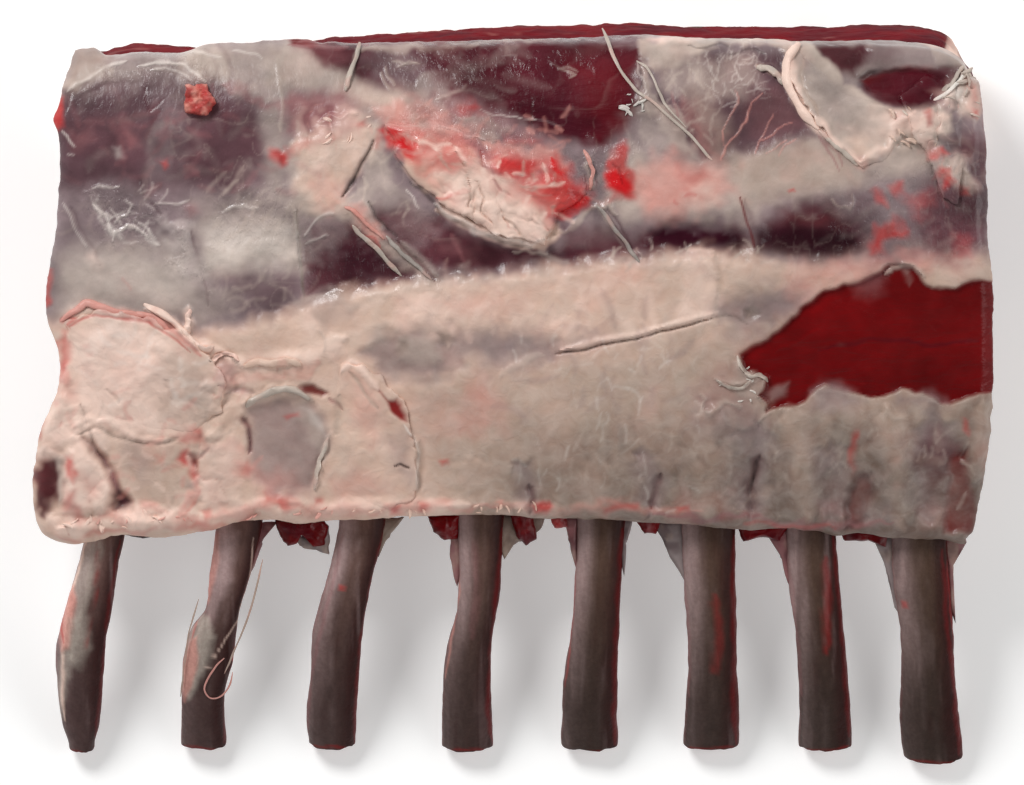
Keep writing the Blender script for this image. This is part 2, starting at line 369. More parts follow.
         248, 8, 228, -146, 212, -326, 184),
    area("ivory", 0.35, 6, 2, 0.2, -226, 200, -106, 212, -74, 168, -126, 132, -206, 132),
    area("ivory", 0.35, 5, 2.5, 0.3, -202, 200, -162, 204, -138, 172, -146, 136, -194, 140),
    area("pink", 0.32, 7, 2.5, 0, -146, 192, -66, 208, 54, 204, 34, 172, -86, 156),
    area("pink", 0.25, 8, 2.5, 0, 94, 228, 254, 248, 294, 212, 174, 184),
    area("skin_pale", 0.5, 4, 2.5, 0, -434, 196, -346, 212, -322, 180, -366, 156, -426, 152),
    area("tallow", 0.8, 16, 3, 0, -166, 48, 14, 56, 174, 80, 374, 148, 494, 252, 994, 268, 994, -368, -86,
         -368, -186, -108),
    area("drab", 0.85, 18, 3, 0, 14, -88, 174, -48, 374, -4, 494, -8, 574, -8, 994, 12, 994, -368, -66, -368),
    area("dun", 0.7, 16, 3, 0, 334, -148, 494, -88, 694, -48, 994, -28, 994, -368, 94, -368, 174, -208),
    area("dun", 0.4, 12, 3, 0, 454, -188, 994, -148, 994, -368, 454, -368),
    area("tallow", 0.55, 8, 2, 0.3, 94, 32, 294, 72, 374, 32, 334, -48, 174, -48),
    area("tallow", 0.6, 7, 2, 0.4, 574, 0, 674, 0, 774, -16, 894, -16, 874, -48, 734, -56, 614, -40),
    area("slate", 0.75, 5, 2, -0.8, -314, 92, -270, 124, -226, 116, -178, 132, -86, 136, 34, 128, 86, 104, 70,
         88, -26, 72, -86, 80, -126, 56, -186, 32, -242, 44, -282, 68),
    area("slate", 0.5, 7, 2, -0.3, -66, 132, 94, 124, 214, 116, 174, 100, 94, 80, 34, 48, -58, 48),
    area("veil", 0.55, 3, 1.5, 0.5, -218, 116, -178, 124, -146, 100, -150, 72, -186, 60, -218, 80),
    area("veil", 0.5, 4, 2, 0.3, -314, 120, -258, 140, -226, 132, -266, 108, -298, 96),
    area("dun", 0.7, 2.4, 0.9, -0.8, -144, 120, -126, 124, -116, 110, -126, 94, -142, 100),
    area("drab", 0.6, 2.4, 0.9, -0.5, -232, 112, -218, 116, -210, 100, -222, 86, -234, 92),
    area("slate", 0.75, 5, 2, -0.4, 406, 200, 494, 220, 574, 216, 614, 192, 566, 160, 494, 124, 422, 140, 398,
         168),
    area("skin", 0.4, 4, 1.5, -0.3, 462, 192, 554, 200, 574, 172, 514, 148, 470, 156),
    area("dun", 0.8, 1.6, 0.9, -0.7, 466, 170, 478, 176, 488, 166, 478, 156, 466, 158),
    line("dun", 0.75, 1.2, 0.3, -0.7, 84, 84, 134, 92, 176, 102, 224, 110, 262, 118, 298, 130, 350, 142, 398,
         154),
    line("ivory", 0.55, 2.2, 0.3, 0.5, 94, 92, 176, 110, 262, 126, 298, 138, 374, 158, 398, 164),
    line("dun", 0.5, 0.9, 0.3, -0.3, 398, 154, 426, 160, 450, 156, 470, 144),
    line("veil", 0.4, 2.5, 0.8, 0.2, -26, 44, -2, 64, 30, 76, 62, 80),
    area("ivory", 0.5, 2.5, 0.9, 0.4, 344, 288, 402, 290, 406, 212, 398, 164, 334, 148, 342, 212),
    line("ivory", 0.5, 2.0, 0.4, 0.4, 350, 290, 374, 294, 402, 290),
    line("tallow", 0.45, 2, 0.5, -0.3, 408, 284, 412, 232, 404, 172),
    area("pink", 0.55, 7, 2.5, 0, -90, 24, -38, 24, -30, -28, -66, -68, -98, -32),
    area("pink", 0.25, 9, 3, 0, -186, -8, -106, 0, -106, -88, -178, -88),
    area("blood", 0.6, 1.4, 0.9, 0, -152, -134, -136, -132, -134, -142, -146, -148),
    area("cream", 0.4, 9, 2.5, 0, 14, 232, 254, 252, 326, 212, 294, 144, 94, 112, 14, 160),
    area("pink", 0.5, 6, 2, 0.2, 554, 252, 654, 268, 734, 288, 774, 276, 726, 244, 646, 212, 586, 184, 554,
         208),
    area("rose", 0.45, 6, 2, 0, 702, 296, 794, 312, 894, 288, 950, 268, 894, 240, 794, 256, 726, 252),
    area("pink", 0.4, 4, 2, 0.2, 766, 288, 814, 296, 854, 268, 814, 248, 774, 256),
    area("rose", 0.35, 7, 3, 0.1, 406, 48, 464, 60, 510, 32, 514, -36, 474, -56, 374, -32, 354, 0),
    area("slate", 0.5, 6, 2, 0, 374, -8, 494, -28, 514, -68, 434, -108, 354, -68),
    area("veil", 0.5, 3, 2.5, 0.4, 442, 64, 474, 56, 502, 28, 494, -8, 462, 8, 434, 32),
    line("veil", 0.7, 1.6, 0.8, 0.5, 446, 80, 458, 60, 470, 40, 494, 44, 510, 32),
    line("veil", 0.45, 1.6, 1, 0.4, 406, 36, 434, 24, 464, 20, 486, 32),
    line("veil", 0.45, 1.2, 1.2, 0.4, 366, 8, 386, -12, 374, -28, 398, -36, 430, -12, 458, -16),
    line("veil", 0.4, 1.2, 0.8, 0.4, 486, 0, 506, -16, 510, -36, 486, -56),
    area("raw", 0.99, 0.9, 0.9, -1.3, 450, 84, 518, 120, 562, 156, 620, 204, 666, 220, 696, 230, 718, 238,
         746, 260, 774, 268, 798, 264, 814, 240, 834, 220, 874, 218, 954, 234, 994, 240, 994, 16, 958, 8, 896,
         -10, 860, -14, 820, 6, 764, 8, 704, -2, 660, 18, 630, 24, 606, 12, 586, -8, 544, -18, 512, -36, 490,
         0, 508, 36, 490, 48, 464, 52),
    area("raw_light", 0.5, 3.5, 0.9, 0, 450, 84, 518, 120, 574, 164, 626, 200, 638, 192, 574, 136, 518, 96,
         478, 64),
    area("raw_light", 0.16, 6, 1, 0, 934, 236, 974, 236, 974, 8, 934, 8),
    area("raw_light", 0.16, 10, 2, 0, 514, 92, 674, 172, 774, 92, 734, 32, 574, 8, 514, 12),
    area("skin_pale", 0.5, 2, 1, 0.4, 510, 8, 526, 24, 550, 32, 546, 0, 522, -8),
    area("rose", 0.5, 3.5, 1, 0.2, 678, 228, 710, 244, 746, 248, 734, 216, 706, 200, 682, 208),
    area("slate", 0.7, 4, 1.5, 0, 598, 8, 630, 20, 670, 12, 702, -12, 666, -28, 598, -24),
    area("slate", 0.6, 4, 1.5, 0, 774, 0, 834, -4, 862, -16, 834, -32, 774, -24),
    line("veil", 0.6, 1.8, 0.6, 0.6, 742, 244, 758, 260, 782, 264, 802, 258, 822, 240),
    line("raw_light", 0.35, 1.2, 0.6, 0.1, 518, 92, 574, 112, 614, 132),
    line("plum_deep", 0.4, 1.6, 0.6, -0.1, 614, 92, 714, 112, 834, 104, 934, 112),
    line("tallow", 0.35, 9, 1, 0.9, 398, -28, 390, -128, 386, -248),
    line("tallow", 0.55, 9, 1, 1.2, 554, -28, 574, -108, 586, -248),
    line("tallow", 0.55, 9, 1, 1.2, 750, -28, 766, -128, 778, -260),
    line("tallow", 0.35, 10, 1, 0.6, 166, -128, 168, -238),
    line("tallow", 0.35, 10, 1, 0.6, -86, -128, -74, -238),
    line("slate", 0.6, 9, 1.5, -0.9, 6, -140, 34, -188, 38, -232),
    line("plum", 0.55, 3, 0.8, -0.8, 34, -176, 38, -208, 36, -236),
    line("slate", 0.6, 9, 1.5, -0.9, 254, -108, 278, -168, 274, -232),
    line("plum", 0.5, 3, 0.8, -0.9, 294, -160, 284, -188, 280, -224),
    line("slate", 0.65, 12, 1.5, -1.1, 486, -68, 482, -148, 478, -240),
    line("plum", 0.6, 5, 1.2, -1.1, 490, -120, 482, -172, 478, -232),
    line("shade", 0.4, 1.6, 0.6, -0.4, 488, -132, 478, -168, 474, -200),
    line("slate", 0.65, 12, 1.5, -1.0, 642, -88, 646, -168, 642, -240),
    line("dun", 0.5, 5, 1.2, -0.5, 630, -148, 638, -200, 634, -248),
    area("plum_deep", 0.9, 2.2, 1, -1.6, 694, -156, 718, -160, 728, -180, 714, -212, 710, -240, 694, -268,
         666, -264, 670, -228, 678, -188),
    area("raw", 0.6, 2, 1, 0, 690, -164, 718, -168, 718, -208, 698, -260, 674, -256, 678, -208),
    line("slate", 0.75, 15, 1.5, -1.0, 834, -48, 846, -128, 838, -236),
    area("plum", 0.7, 5, 1.5, -0.6, 806, -88, 854, -68, 902, -108, 898, -168, 834, -208, 810, -148),
    area("plum_deep", 0.4, 5, 1.5, 0, 834, -108, 894, -120, 886, -168, 842, -176),
    area("raw", 0.95, 2.2, 0.9, -1.2, 874, -120, 906, -108, 914, -160, 926, -208, 926, -276, 866, -276, 866,
         -208),
    line("veil", 0.6, 1.6, 0.8, 0.5, 898, -132, 918, -148, 922, -168),
    line("tallow", 0.5, 6, 1, 0.6, 942, -8, 934, -88, 930, -168),
    area("blood", 0.55, 2, 1.4, 0, 678, -72, 690, -68, 694, -96, 686, -124, 674, -148, 670, -124),
    area("blood", 0.5, 1.5, 1, 0, 898, -52, 910, -56, 910, -80, 900, -76),
    area("rose", 0.5, 3, 1.6, 0.2, 614, -220, 658, -216, 666, -248, 626, -256),
    area("slate", 0.6, 3, 1.5, 0, 698, -232, 754, -220, 774, -252, 706, -260),
    line("ivory", 0.6, 5, 1, 0.5, -906, -268, -786, -252, -656, -248, -586, -240, -526, -224, -366, -224,
         -226, -220, -86, -220),
    line("pink", 0.6, 4, 1.8, 0.2, -906, -264, -806, -244, -726, -232, -626, -252, -506, -216, -366, -220,
         -226, -228, -26, -216),
    line("pink", 0.35, 3, 1.8, 0.2, -26, -220, 94, -228, 214, -224, 374, -236),
    line("blood", 0.4, 2.4, 1.6, 0, -906, -284, -786, -268, -626, -264, -506, -240),
    line("rose", 0.7, 2.6, 1.6, 0, 294, -236, 374, -248, 494, -248, 574, -256, 654, -260, 774, -264),
    line("blood", 0.45, 1.6, 1.4, 0, 464, -252, 554, -260, 654, -264),
    area("blood", 0.6, 1.5, 1, 0, 326, -224, 354, -224, 362, -234, 334, -236),
    area("blood", 0.8, 1.6, 0.9, 0.2, 46, -220, 78, -208, 86, -220, 70, -240, 50, -240),
    area("blood", 0.5, 1.8, 1.2, 0, 182, -220, 254, -216, 254, -232, 186, -232),
    area("blood_bright", 0.7, 1.2, 0.9, 0.1, -246, -224, -226, -222, -222, -236, -242, -240),
    area("blood", 0.6, 1.4, 1, 0, -186, -216, -166, -220, -170, -236, -186, -234),
    area("blood", 0.6, 1.6, 1, 0, -400, -204, -378, -200, -378, -212, -394, -216),
    area("blood", 0.6, 2.2, 2, 0.2, -502, -204, -446, -196, -430, -216, -458, -232, -498, -224),
    area("blood", 0.6, 1.2, 0.9, 0, -626, -228, -610, -224, -606, -234, -618, -240),
    area("blood", 0.45, 2, 1.2, 0, -250, -228, -222, -224, -230, -244),
    area("blood", 0.45, 2.4, 1.2, 0, -794, -240, -766, -232, -766, -252, -790, -256),
    area("ivory", 0.4, 10, 2, 0, -906, 132, -626, 92, -586, -48, -786, -88, -926, -68),
    area("tallow", 0.45, 7, 2, 0, -786, -100, -666, -96, -646, -168, -666, -220, -746, -208, -782, -148),
    area("slate", 0.4, 5, 2, 0, -778, -80, -746, -88, -722, -148, -754, -176, -782, -132),
    area("slate", 0.75, 3.5, 1.5, -0.7, -530, -32, -502, -12, -454, 0, -410, -12, -374, -48, -370, -88, -382,
         -148, -398, -200, -474, -200, -514, -172, -526, -108),
    area("veil", 0.5, 4, 1.8, 0.2, -418, -16, -386, -36, -370, -80, -378, -128, -410, -88, -426, -48),
    area("white", 0.4, 2, 1.5, 0.1, -414, -24, -394, -36, -378, -72, -398, -68),
    area("pink", 0.35, 5, 2, 0, -514, -148, -446, -160, -406, -188, -446, -208, -502, -192),
    line("veil", 0.75, 2.2, 1.2, 0.6, -534, -24, -514, -6, -486, 4, -450, 12, -422, 4, -402, -12),
    line("veil", 0.75, 2.0, 0.8, 0.5, -366, -80, -378, -116, -390, -152, -396, -188),
    line("cream", 0.8, 5, 1.5, 0.8, -614, -84, -582, -52, -554, -28, -534, -12),
    line("ivory", 0.6, 6, 1.5, 0.7, -614, 16, -566, 48, -502, 64, -426, 72, -366, 92, -326, 124),
    line("pink", 0.4, 3, 1.8, 0.2, -606, 4, -546, 32, -466, 48, -386, 64),
    line("ivory", 0.6, 3, 1.2, 0.6, -734, 184, -694, 160, -658, 128, -630, 100, -602, 100),
    line("ivory", 0.5, 3, 1, 0.6, -652, 180, -650, 152, -650, 124),
    line("ivory", 0.6, 3, 1.2, 0.6, -630, 100, -598, 88, -570, 72, -538, 56),
    area("rose", 0.55, 3, 1, 0.2, -602, 60, -582, 72, -558, 68, -554, 40, -574, 20, -602, 32),
    line("dun", 0.55, 1.0, 0.5, -0.5, -602, 68, -582, 84, -558, 80, -546, 64),
    line("rose", 0.6, 1.6, 0.8, -0.2, -590, 16, -562, 12, -530, 8),
    line("slate", 0.5, 3, 1.2, -0.4, -574, 0, -546, 8, -518, 0),
    area("raw", 0.9, 1, 0.9, -0.7, -426, 16, -406, 18, -382, 10, -366, 0, -382, -4, -414, 6),
    line("rose", 0.6, 1.2, 0.5, -0.3, -374, -2, -354, -16, -342, -32),
    area("blood", 0.7, 2.6, 1.6, 0, -662, -68, -642, -56, -626, -64, -622, -84, -642, -96, -662, -92),
    area("blood_bright", 0.8, 1.8, 1.2, -0.5, -666, -112, -650, -104, -638, -124, -630, -152, -634, -164,
         -650, -140, -670, -132),
    area("raw", 0.8, 1.4, 0.9, -0.7, -658, -116, -642, -120, -634, -140, -650, -136),
    line("rose", 0.6, 1.8, 0.8, -0.4, -630, -124, -614, -112, -606, -104),
    line("pink", 0.8, 2.4, 1.2, 0.3, -634, -164, -632, -188, -646, -216, -666, -244),
    line("blood", 0.5, 1.4, 0.9, 0, -654, -232, -642, -212, -630, -188),
    area("slate", 0.5, 2, 1, 0, -654, -164, -638, -168, -642, -188, -656, -184),
    area("blood", 0.55, 2.4, 1.4, 0.1, -562, -136, -542, -132, -526, -148, -534, -164, -554, -160),
    area("pink", 0.5, 5, 2, 0, -578, -120, -526, -120, -514, -160, -546, -180, -574, -164),
    area("blood", 0.5, 1.2, 0.9, 0, -458, -40, -438, -36, -434, -44, -450, -50),
    line("plum", 0.75, 2.2, 0.8, -0.8, -546, -40, -530, -60, -524, -88, -532, -112),
    line("pink", 0.4, 4, 1.5, 0.2, -626, -100, -594, -108, -562, -96, -538, -108),
    area("ivory", 0.45, 5, 2, 0.3, -626, -104, -578, -100, -554, -148, -566, -208, -618, -208),
    area("pink", 0.35, 5, 2, 0, -618, -168, -574, -176, -562, -216, -610, -224),
    area("ivory", 0.85, 3, 1.5, 0.5, -946, -32, -910, 0, -866, -16, -854, -68, -866, -112, -902, -108, -946,
         -88),
    area("pink", 0.4, 2.5, 1.5, 0.1, -906, 24, -874, 24, -866, -8, -902, -8),
    area("blood_bright", 0.7, 2.4, 2, -0.5, -914, 116, -894, 128, -880, 100, -882, 64, -898, 28, -910, 60),
    area("pink", 0.8, 1.2, 0.9, 0.5, -902, 44, -886, 48, -878, 32, -890, 20, -902, 28),
    area("blood", 0.6, 1.4, 1, 0, -954, -48, -942, -56, -946, -80, -956, -72),
    area("blood", 0.4, 1.4, 1, 0, -914, -8, -902, -4, -902, -20, -912, -24),
    area("muscle", 0.9, 3, 3, -0.7, -966, -148, -946, -120, -922, -144, -902, -176, -918, -216, -930, -256,
         -958, -232),
    area("muscle", 0.5, 3, 1, 0, -954, -136, -914, -132, -910, -208, -938, -228),
    line("veil", 0.8, 2.4, 1, 0.5, -950, -112, -930, -116, -910, -126, -904, -156, -906, -208),
    area("ivory", 0.7, 2, 0.9, 0.3, -958, -100, -926, -100, -914, -120, -938, -128, -958, -124),
    area("ivory", 0.9, 3, 1, 1.6, -894, -108, -858, -112, -826, -144, -802, -192, -810, -224, -846, -232,
         -894, -232, -902, -168),
    area("pink", 0.4, 3, 1.5, 0, -866, -148, -834, -160, -818, -200, -846, -208),
    area("plum", 0.9, 1.8, 0.9, -1.2, -858, -84, -838, -96, -814, -124, -794, -160, -778, -192, -762, -208,
         -766, -224, -786, -228, -802, -224, -794, -196, -810, -164, -830, -128),
    area("plum_deep", 0.7, 2, 0.9, -0.5, -806, -200, -778, -196, -764, -214, -782, -230, -806, -226),
    area("blood_bright", 0.8, 1.8, 1.2, 0, -896, -128, -878, -128, -870, -156, -878, -176, -892, -172),
    area("blood", 0.7, 2, 1.2, 0, -890, -192, -874, -188, -870, -224, -862, -248, -870, -268, -894, -244),
    area("ivory", 0.8, 2.5, 1, 0.5, -930, -240, -886, -232, -858, -256, -862, -284, -914, -284),
    area("ivory", 0.8, 3, 1.5, 0.6, -778, -224, -746, -214, -706, -224, -678, -228, -686, -260, -766, -264,
         -786, -244),
    area("pink", 0.5, 2, 1, 0, -746, -208, -714, -208, -706, -224, -738, -228),
    line("dun", 0.5, 1.2, 0.6, -0.5, -866, -16, -860, -36, -854, -56),
    area("ivory", 0.8, 2.5, 1, 0.7, -858, -64, -830, -56, -818, -88, -818, -112, -834, -108, -850, -88),
    line("dun", 0.5, 1.0, 0.6, -0.4, -854, -64, -842, -92, -826, -112),
    area("blood_bright", 0.9, 1.4, 0.9, 0.2, -822, 700, -790, 712, -726, 718, -674, 712, -634, 704, -686, 698,
         -766, 698),
    area("blood", 0.9, 1.4, 0.9, 0, -926, 556, -906, 608, -894, 600, -898, 544, -914, 532),
    area("blood", 0.8, 1.4, 0.9, 0, -942, 184, -934, 256, -924, 252, -926, 180, -938, 168),
    area("blood", 0.85, 2, 1, 0.1, -490, 496, -474, 492, -454, 480, -450, 464, -462, 458, -478, 468, -490,
         484),
    area("raw", 0.4, 1.6, 0.9, 0, -474, 488, -458, 480, -458, 464, -470, 472),
    line("blood", 0.4, 4, 1.8, 0.1, -466, 476, -434, 488, -406, 500, -374, 512),
    line("pink", 0.5, 5, 2, 0.1, -434, 488, -386, 508, -338, 524, -294, 536),
    area("blood", 0.6, 2.2, 1.2, 0.1, -314, 540, -294, 548, -290, 532, -310, 528),
    line("dun", 0.85, 1.0, 0.4, -0.3, -432, 376, -430, 336, -426, 292, -422, 244, -418, 200),
    line("veil", 0.5, 1.4, 0.6, 0.2, -442, 380, -436, 340, -434, 300, -428, 256),
    line("white", 0.4, 0.9, 0.8, 0.2, -422, 320, -402, 340, -382, 356, -354, 364),
    line("white", 0.35, 0.8, 0.8, 0.2, -414, 304, -390, 316, -366, 320),
    line("veil", 0.45, 1.6, 0.8, 0.3, -390, 132, -374, 112, -382, 88),
    area("ivory", 0.5, 2, 1, 0.3, -430, 168, -406, 172, -390, 136, -406, 120, -426, 136),
    line("veil", 0.6, 1.4, 0.6, 0.2, -310, 708, -314, 672, -326, 636, -334, 608),
    line("shade", 0.75, 1.4, 0.4, -0.7, -280, 510, -288, 488, -304, 460, -322, 428, -342, 396),
    area("veil", 0.7, 3, 1.6, 0.4, -346, 384, -314, 388, -290, 364, -266, 340, -246, 316, -218, 300, -186,
         268, -146, 240, -170, 224, -206, 240, -234, 268, -270, 296, -306, 328),
    area("pink", 0.6, 2.4, 1.6, 0.2, -330, 380, -302, 376, -274, 348, -258, 316, -282, 312, -310, 336, -326,
         360),
    line("blood", 0.55, 1.0, 0.8, 0, -322, 340, -302, 320, -278, 308, -266, 288),
    line("shade", 0.6, 0.9, 0.4, -0.4, -290, 392, -274, 360, -250, 336, -230, 316),
    line("plum", 0.7, 1.4, 0.4, -0.4, -234, 312, -206, 284, -178, 256, -154, 232),
    line("skin_pale", 0.5, 2.4, 0.8, 0.3, -218, 312, -186, 280, -146, 240),
    area("skin", 0.7, 2.4, 1, 0.3, 158, 380, 190, 384, 222, 344, 266, 280, 246, 268, 210, 312),
    line("skin_dark", 0.6, 1.0, 0.4, -0.3, 186, 380, 214, 340, 242, 296, 258, 272),
    line("veil", 0.5, 1.0, 0.5, 0.2, 170, 380, 198, 340, 230, 288),
    line("skin_pale", 0.6, 2.4, 1, 0.2, 54, 292, 78, 272, 106, 264),
    line("veil", 0.4, 1.2, 1.2, 0.2, -6, 288, 34, 292, 74, 284),
    line("veil", 0.6, 1.6, 1.5, 0.3, 94, 328, 126, 352, 158, 376, 186, 380, 210, 364),
    area("pink", 0.75, 4, 2.2, 0.2, -266, 568, -226, 584, -146, 572, -138, 536, -166, 512, -218, 512, -254,
         532),
    area("veil", 0.5, 3, 2.2, 0.3, -218, 576, -162, 564, -146, 540, -186, 528, -218, 548),
    area("pink", 0.7, 3, 2.2, 0.1, -66, 496, 14, 508, 66, 496, 106, 472, 94, 440, 14, 440, -50, 460),
    area("cream", 0.97, 1.4, 1, 0, -202, 520, -166, 520, -134, 516, -102, 506, -78, 492, -66, 476, -62, 456,
         -34, 440, 6, 432, 38, 420, 54, 392, 66, 364, 86, 344, 94, 324, 78, 310, 56, 300, 34, 298, -2, 306,
         -42, 320, -76, 336, -116, 356, -148, 376, -152, 392, -178, 412, -202, 432, -218, 456, -222, 488),
    area("ivory", 0.8, 3, 1.5, 0, -146, 492, -86, 492, -66, 452, -6, 424, 46, 384, 78, 332, 54, 304, -2, 312,
         -74, 340, -134, 372, -150, 400, -134, 432),
    area("pink", 0.55, 3.5, 2, 0, -202, 512, -146, 508, -106, 496, -98, 464, -126, 436, -166, 440, -194, 472),
    area("pink", 0.5, 3, 2, 0, -178, 436, -134, 432, -114, 396, -146, 392, -170, 412),
    area("pink", 0.4, 3.5, 2, 0, -46, 424, 6, 416, 34, 384, -2, 380, -34, 400),
    line("ivory", 0.9, 2.6, 0.6, 0.1, -150, 374, -116, 358, -76, 338, -42, 322, -2, 308, 34, 300),
    line("blood", 0.55, 1.4, 1.2, 0, -154, 396, -122, 396, -98, 400, -82, 404),
    line("tallow", 0.6, 0.8, 0.8, -0.4, -114, 488, -94, 456, -86, 420, -94, 380),
    line("tallow", 0.5, 0.8, 0.8, -0.4, -70, 432, -54, 400, -58, 364, -38, 340),
    line("dun", 0.55, 0.8, 0.6, -0.4, 22, 348, 38, 350, 50, 340),
    line("tallow", 0.6, 0.8, 0.8, -0.4, -26, 360, -2, 340, 14, 320),
    line("rose", 0.5, 1.0, 0.8, -0.2, -38, 432, -26, 412, -10, 396),
    area("blood", 0.85, 2.4, 1.8, 0, -256, 532, -234, 540, -210, 528, -186, 508, -174, 480, -194, 464, -218,
         472, -238, 492, -258, 504),
    area("blood_bright", 0.9, 2, 1.2, 0.1, -226, 516, -206, 516, -194, 500, -202, 480, -218, 484, -230, 500),
    area("blood", 0.5, 1.6, 1.4, 0, -198, 540, -186, 536, -190, 520, -200, 524),
    area("blood", 0.8, 2.2, 1.8, 0.1, -34, 468, -10, 476, 14, 472, 42, 468, 46, 448, 26, 436, 2, 436, -22,
         448),
    area("blood_bright", 0.65, 1.4, 1.2, 0.1, -10, 468, 14, 468, 18, 452, -2, 444),
    area("blood", 0.35, 2.5, 2, 0.1, -26, 508, 34, 516, 54, 504, 34, 496, -18, 496),
    area("blood", 0.5, 4, 2, 0, 30, 424, 78, 432, 98, 380, 70, 348, 34, 376),
    area("blood", 0.75, 3, 2, 0.1, 78, 480, 98, 464, 118, 424, 146, 420, 154, 392, 122, 372, 94, 348, 74, 356,
         54, 384, 26, 384, 42, 404, 70, 408, 86, 432),
    line("blood_bright", 0.95, 2.4, 1, 0.2, 74, 476, 90, 456, 106, 428, 110, 404, 94, 384),
    area("blood_bright", 0.95, 1.8, 1.2, 0.3, 46, 400, 78, 404, 102, 396, 146, 404, 150, 388, 118, 372, 90,
         352, 74, 356, 66, 380),
    line("pink", 0.6, 1.4, 0.8, 0.2, 94, 412, 86, 392, 70, 380),
    area("pink", 0.7, 2, 1, 0.1, 50, 376, 70, 372, 78, 344, 62, 332),
    line("veil", 0.5, 2, 1.5, 0.3, 142, 488, 154, 460, 154, 428, 150, 400),
    area("blood", 0.8, 2.4, 1.6, 0.2, 206, 508, 230, 504, 234, 472, 238, 424, 234, 392, 202, 396, 182, 416,
         186, 448, 198, 480),
    area("blood_bright", 0.9, 1.8, 1.2, 0.1, 186, 448, 210, 460, 234, 448, 236, 416, 218, 400, 190, 416),
    line("raw", 0.4, 1.0, 0.6, -0.2, 198, 464, 214, 452, 222, 424),
    line("raw", 0.6, 1.2, 0.5, -0.3, -68, 488, -62, 472, -58, 456),
    line("shade", 0.6, 1.4, 0.5, -0.3, -206, 428, -178, 408, -154, 384, -146, 368, -114, 350, -74, 330, -38,
         314, -2, 300, 34, 292),
    area("veil", 0.97, 1.2, 0.9, 0, 568, 720, 592, 708, 606, 700, 618, 676, 652, 646, 658, 624, 686, 618, 702,
         602, 742, 580, 786, 574, 794, 560, 792, 508, 766, 500, 742, 492, 714, 472, 702, 452, 674, 468, 648,
         496, 602, 530, 574, 564, 550, 608, 546, 652, 554, 684),
    area("skin_pale", 0.8, 4, 2, 0, 586, 660, 634, 636, 674, 608, 694, 572, 654, 548, 610, 568, 582, 608),
    area("slate", 0.5, 3, 1.5, 0, 574, 680, 598, 680, 602, 652, 578, 640),
    area("ivory", 0.5, 4, 2, 0, 634, 528, 714, 552, 774, 568, 782, 520, 726, 496, 686, 492),
    area("cream", 0.6, 3, 2, 0, 646, 512, 694, 528, 734, 512, 710, 472, 674, 476),
    area("pink", 0.4, 2, 1.2, 0, 686, 484, 710, 480, 706, 456, 690, 464),
    line("ivory", 0.75, 2.6, 0.6, 0.3, 570, 708, 554, 676, 550, 632, 566, 588, 594, 548, 634, 508),
    line("tallow", 0.5, 1.2, 0.6, -0.2, 578, 676, 570, 640, 586, 596, 614, 560),
    line("cream", 0.5, 1.8, 1, 0.2, 486, 656, 518, 648, 542, 632, 550, 616),
    area("veil", 0.9, 1.8, 1.4, 0.2, 774, 568, 814, 576, 846, 584, 870, 572, 866, 544, 874, 516, 834, 504,
         774, 492, 742, 500, 782, 532),
    area("ivory", 0.7, 1.6, 1.4, 0.2, 790, 560, 834, 572, 862, 560, 854, 532, 818, 520, 790, 532),
    area("veil", 0.9, 1.8, 1.6, 0.2, 846, 600, 870, 624, 898, 660, 930, 648, 934, 592, 918, 560, 878, 576,
         858, 584),
    area("white", 0.6, 1.6, 1.4, 0.2, 854, 596, 878, 616, 902, 608, 882, 580),
    area("plum", 0.8, 1.6, 1, -0.4, 834, 652, 866, 660, 894, 656, 890, 632, 866, 620, 838, 628),
    area("blood", 0.85, 1.2, 0.9, 0.1, 820, 564, 834, 566, 836, 542, 824, 540),
    area("pink", 0.6, 2.4, 1.4, 0, 902, 632, 930, 620, 930, 576, 906, 584),
    area("blood", 0.6, 1.4, 0.9, 0, 914, 576, 926, 572, 922, 552, 912, 558),
    area("blood", 0.4, 1.6, 1, 0, 758, 558, 770, 560, 770, 552, 760, 550),
    area("blood", 0.75, 2.2, 1.4, 0, 810, 524, 830, 520, 834, 492, 818, 488),
    area("blood_bright", 0.75, 1.6, 1, 0.1, 822, 488, 862, 496, 874, 480, 846, 468, 826, 472),
    area("veil", 0.75, 2, 1.6, 0.2, 862, 480, 906, 472, 934, 424, 914, 408, 874, 436, 846, 460),
    area("blood", 0.85, 1.8, 1.2, 0.1, 842, 452, 866, 448, 878, 428, 854, 420, 842, 436),
    area("blood", 0.7, 1.4, 0.9, 0, 892, 418, 910, 418, 910, 404, 894, 406),
    area("blood", 0.6, 1.8, 1.4, 0, 718, 412, 738, 404, 746, 384, 730, 384),
    area("blood", 0.6, 2, 1.4, 0, 758, 416, 778, 420, 782, 404, 766, 392),
    area("blood", 0.4, 4, 2, 0, 802, 404, 838, 408, 846, 376, 814, 352, 794, 376),
    area("blood", 0.8, 2.6, 1.8, 0.1, 726, 348, 750, 356, 774, 340, 794, 328, 786, 312, 754, 312, 742, 288,
         718, 292, 730, 320),
    area("raw", 0.35, 2, 1.2, 0, 734, 344, 758, 344, 762, 328, 738, 320),
    area("blood", 0.35, 3, 1.6, 0, 886, 320, 910, 312, 906, 280, 886, 284),
    line("raw", 0.8, 1.0, 0.3, -0.3, 454, 396, 464, 364, 474, 328, 484, 292),
    line("skin_dark", 0.4, 2.4, 0.8, 0, 462, 392, 478, 340, 490, 292),
    line("rose", 0.6, 1.2, 0.6, -0.1, 842, 452, 850, 412, 870, 372),
    area("cream", 0.85, 2, 1, 0, -334, 60, -310, 56, -286, 36, -252, -8, -216, -56, -194, -96, -190, -158,
         -194, -196, -266, -216, -366, -212, -398, -196, -386, -158, -360, -80, -338, 0, -346, 36),
